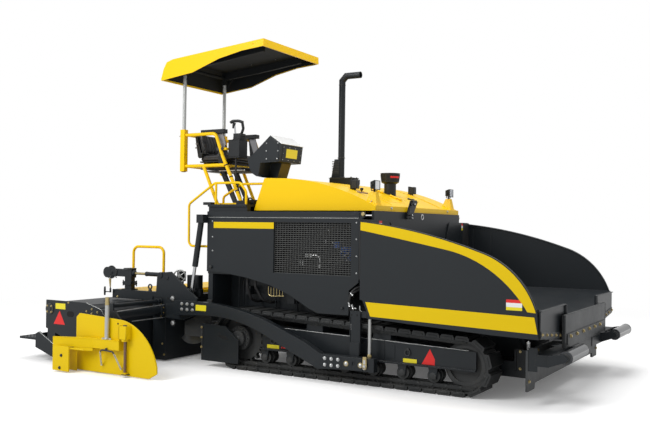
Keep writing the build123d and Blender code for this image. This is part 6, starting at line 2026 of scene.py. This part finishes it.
def roof_arms(bm):
    """Two near-black arms under the shell, the tie between them and a strut at each post, painted shade like
    the lining.
    """
    for y in (-1050, -330):
        sheet_metal(bm, [(-1424, 3319), (-1424, 3238), (-900, 3283), (-318, 3348), (-318, 3413)], "y",
            y - 20, y + 20)
        sheet_metal(bm, [(-1380, 3130), (-1372, 3130), (-1262, 3254), (-1276, 3254)], "y", y - 4, y + 4)
        slab(bm, -1424, -1376, y - 22, y + 22, 3180, 3242)
    turned_y(bm, -1400, 3262, -1030, -350, 18, sides=24)


def canopy_posts(bm):
    """Round tubes that slide in the station's square sleeves."""
    for y in (-1050, -330):
        turned_z(bm, -1400, y, 2140, 3240, 20, sides=32)


@single(YELLOW, bevel=2)
def sleeve_collars(bm):
    for y in (-1050, -330):
        slab(bm, -1425, -1375, y - 25, y + 25, 2478, 2486)


@single(PLASTIC)
def post_guides(bm):
    """Guide rings at the foot of the sleeves; the posts pass through them."""
    for y in (-1050, -330):
        hoop(bm, (-1400, y, 2097), (0, 0, 1), 23.8, 2.6, sides=32, ring_sides=8)


@single(SHADE_IN_HOLES, "canopy")
def post_holes(bm):
    """Painted shade discs for the pin holes down the outer face of each post."""
    for y in (-1050, -330):
        for z in (3150, 3090):
            turned_y(bm, -1400, z, y - 20.6, y - 19, 5, sides=14)


@single(ZINC)
def sleeve_clamps(bm):
    """Clamp screws with hand levers on the sleeves."""
    for y in (-1050, -330):
        turned_x(bm, y, 2520, -1436, -1424, 11, sides=6)
        pipe(bm, [(-1440, y, 2520), (-1452, y - 20, 2490)], 5, sides=8)


@single(BLACK)
def deck_tread(bm):
    """Raised tread pattern on the operator's deck."""
    low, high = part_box("deck")
    z = high.z * 1000
    x0, x1 = low.x * 1000 + MIDDLE_X, high.x * 1000 + MIDDLE_X
    count = int((x1 - x0 - 40) / 34)
    for i in range(count):
        for j in range(62):
            x, y = x0 + 25 + i * 34, -1085 + j * 35 + (i % 2) * 17
            turn = 1 if (i + j) % 2 else -1
            a, b = Vector((x - 8, y - 8 * turn, z)), Vector((x + 8, y + 8 * turn, z))
            across = Vector((0.7, -0.7 * turn, 0)) * 3
            low_ring = [bm.verts.new(p) for p in (a, (a + b) / 2 + across, b, (a + b) / 2 - across)]
            high_ring = [bm.verts.new(p.co + Vector((0, 0, 2))) for p in low_ring]
            bm.faces.new(high_ring)
            for k in range(4):
                bm.faces.new((low_ring[k], low_ring[(k + 1) % 4], high_ring[(k + 1) % 4], high_ring[k]))


@single(PLASTIC, bevel=4)
def deck_boxes(bm):
    """Low black boxes and the pedal block on the deck's edge beside the seat."""
    slab(bm, -1056, -945, -1120, -1040, 1722, 1752)
    slab(bm, -620, -500, -1100, -1000, 1722, 1768)
    slab(bm, -590, -490, -960, -840, 1722, 1782)
    turned_z(bm, -560, -1040, 1768, 1796, 14, sides=16)
    pipe(bm, [(-520, -1050, 1766), (-470, -1050, 1800), (-430, -1050, 1770)], 8, 14, sides=10)


@single(CAST, bevel=2)
def seat_slides(bm):
    """Slide plates and scissor strut under the seat."""
    slab(bm, -1276, -690, -905, -480, 2128, 2142)
    slab(bm, -1220, -700, -880, -505, 2100, 2112)
    for y in (-800, -560):
        sheet_metal(bm, [(-1066, 2102), (-1002, 2102), (-822, 1745), (-876, 1745)], "y", y - 16, y + 16)


@single(ZINC)
def seat_slide_catch(bm):
    slab(bm, -1010, -680, -908, -898, 2104, 2114)
    turned_x(bm, -892, 2108, -676, -660, 10, sides=12)


@single(RUBBER)
def leg_straps(bm):
    """Black cable ties on the station's front leg."""
    for share in (0.25, 0.55, 0.8):
        x, z = -582 + (-850 + 582) * share, 1745 + (2258 - 1745) * share
        turned(bm, (x - 3, -1050, z + 6), (x + 3, -1050, z - 6), 21, sides=18)


@single(GREY_PLASTIC, bevel=1.5)
def armrest_plates(bm):
    """Pale grey arms that carry the pads."""
    for y in (-990, -390):
        for side in (-8.2, 5.2):
            sheet_metal(bm, [(-975, 2512), (-892, 2512), (-850, 2392), (-872, 2330), (-905, 2330),
                (-925, 2380)], "y", y + side, y + side + 3)


posts = make("canopy_posts", GALVANISED, "canopy", canopy_posts, slot="zinc")
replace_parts(posts, "canopy_frame")
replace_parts(make("canopy_arms", SHADE_SHEET, "canopy", roof_arms, bevel=2, slot="black_paint"), "canopy_frame")
bolts("roof_bolts", "canopy", [(x, ROOF_Y0 - 12, z) for x, z in ((-330, 3395),)], (0, -1, 0), size=0.35,
    material=YELLOW)
bolts("roof_front_bolts", "canopy", [(-196, y, 3402) for y in (-1160, -1040, -900, -560, -330, -210)],
    (1, 0, 0), size=0.3, material=YELLOW)
bolts("roof_inner_bolts", "canopy", [(x, y, z) for x, z in ((-560, 3392), (-900, 3363))
    for y in (-900, -480)], (0, 0, -1), size=0.45, material=CAST)
print("canopy and station dressed")

# %% [markdown]
# Plain sheets close the machine where its inside would show: a skirt at the hull's rear
# corners and a deeper belly under the hopper, with its bolted bracket.

# %% Closing sheets
@pair(BLACK)
def rear_skirt(bm):
    slab(bm, -862, -856, 840, 1150, 655, 1001)
    slab(bm, -866, -862, 1128, 1150, 655, 1001)


@pair(BLACK, bevel=3)
def hull_belly(bm):
    """The hull's deeper front part: sides, floor and the two ends."""
    slab(bm, 2010, 2500, 846, 858, 158, 301)
    for x in (2010, 2488):
        slab(bm, x, x + 12, 0, 846, 158, 301)
    slab(bm, 2022, 2488, 0, 846, 158, 170)


@pair(BLACK, bevel=2)
def belly_bracket(bm):
    slab(bm, 2372, 2492, 860, 872, 215, 415)
    slab(bm, 2380, 2396, 872, 888, 225, 405)


@pair(RUBBER)
def corner_seal(bm):
    """Upright strip between the bulkhead's corner and the wing's back edge."""
    slab(bm, 1048, 1058, 1196, 1397, 1010, 1566)
    slab(bm, 1030, 1054, 1192, 1200, 1010, 1566)


bolts_both("belly_bracket_bolts", "tractor", [(2430, 872, z) for z in (395, 240)], size=0.6,
    material=BRASS_ZINC)
print("closing sheets set")

# %% [markdown]
# The stage is a pale floor and a bright, even sky. The floor turns plain white away from the
# machine, so it has no horizon, and it keeps the soft shadow under the tracks. A large soft
# lamp from the front left gives the plates one clear bright side.

# %% Stage and light
def stage_floor():
    size = 40
    mesh = bpy.data.meshes.new("floor")
    mesh.from_pydata([(-size, -size, 0), (size, -size, 0), (size, size, 0), (-size, size, 0)], [],
        [(0, 1, 2, 3)])
    floor = bpy.data.objects.new("floor", mesh)
    bpy.context.collection.objects.link(floor)
    floor.location.z = first_bounds[0].z - 0.001
    material = bpy.data.materials.new("Pale floor")
    material.use_nodes = True
    tree = material.node_tree
    tree.nodes.clear()
    output = add(tree, "ShaderNodeOutputMaterial")
    place = add(tree, "ShaderNodeTexCoord")
    distance = add(tree, "ShaderNodeVectorMath", {0: place.outputs["Object"]}, operation="LENGTH")
    far = add(tree, "ShaderNodeMapRange", {"Value": distance.outputs["Value"], "From Min": 4.5,
        "From Max": 9})
    path = add(tree, "ShaderNodeLightPath")
    seen = add(tree, "ShaderNodeMix", data_type="RGBA")
    tree.links.new(path.outputs["Is Camera Ray"], seen.inputs["Factor"])
    seen.inputs[6].default_value = (0.62, 0.62, 0.62, 1)
    seen.inputs[7].default_value = (1, 1, 1, 1)
    near = add(tree, "ShaderNodeBsdfDiffuse", {"Color": seen.outputs[2]})
    lift = add(tree, "ShaderNodeEmission", {"Color": (1, 1, 1, 1)})
    white = maths(tree, "MULTIPLY", path.outputs["Is Camera Ray"], 0.10)
    tree.links.new(white, lift.inputs["Strength"])
    both = add(tree, "ShaderNodeAddShader", {0: near.outputs[0], 1: lift.outputs[0]})
    plain_white = add(tree, "ShaderNodeEmission", {"Color": (1, 1, 1, 1), "Strength": 1})
    mixed = add(tree, "ShaderNodeMixShader", {0: far.outputs["Result"], 1: both.outputs[0],
        2: plain_white.outputs[0]})
    tree.links.new(mixed.outputs[0], output.inputs["Surface"])
    mesh.materials.append(material)
    return floor


def sky():
    world = bpy.data.worlds.new("Studio")
    world.use_nodes = True
    bpy.context.scene.world = world
    tree = world.node_tree
    tree.nodes.clear()
    output = add(tree, "ShaderNodeOutputWorld")
    path = add(tree, "ShaderNodeLightPath")
    background = add(tree, "ShaderNodeBackground", {"Color": (1, 1, 1, 1)})
    strength = add(tree, "ShaderNodeMapRange", {"Value": path.outputs["Is Camera Ray"], "To Min": 0.62,
        "To Max": 1})
    tree.links.new(strength.outputs["Result"], background.inputs["Strength"])
    tree.links.new(background.outputs[0], output.inputs["Surface"])


def soft_lamp(name, place, target, size, power):
    lamp = bpy.data.lights.new(name, "AREA")
    lamp.size, lamp.energy = size, power
    thing = bpy.data.objects.new(name, lamp)
    thing.location = place
    thing.rotation_mode = "QUATERNION"
    thing.rotation_quaternion = (Vector(target) - Vector(place)).to_track_quat("-Z", "Y")
    bpy.context.collection.objects.link(thing)


stage_floor()
sky()
soft_lamp("key", (-3.5, -9, 7.5), (0, 0, 1), 5, 620)
soft_lamp("top", (1, 0.5, 9), (0.5, 0, 1), 6, 420)
bpy.context.scene.view_settings.view_transform = "Standard"
print("stage set")

# %% [markdown]
# The camera stands low and near the front corner on the right-hand side, level with the
# hopper's lip, with a slight roll.

# %% Camera
YAW, PITCH, ROLL = radians(30.97), radians(0.55), radians(0.78)
forward = Vector((-sin(YAW) * cos(PITCH), cos(YAW) * cos(PITCH), sin(PITCH)))
level = Vector((cos(YAW), sin(YAW), 0))
upright = level.cross(forward)
right = level * cos(ROLL) + upright * sin(ROLL)
up = upright * cos(ROLL) - level * sin(ROLL)
camera = bpy.data.objects.new("camera", bpy.data.cameras.new("camera"))
bpy.context.collection.objects.link(camera)
turn = Matrix((right, up, -forward)).transposed().to_4x4()
camera.matrix_world = Matrix.Translation((4.665, -8.15, 1.488)) @ turn
camera.data.lens = 45.5
camera.data.clip_end = 200
bpy.context.scene.camera = camera
print("camera at", tuple(round(v, 3) for v in camera.location))
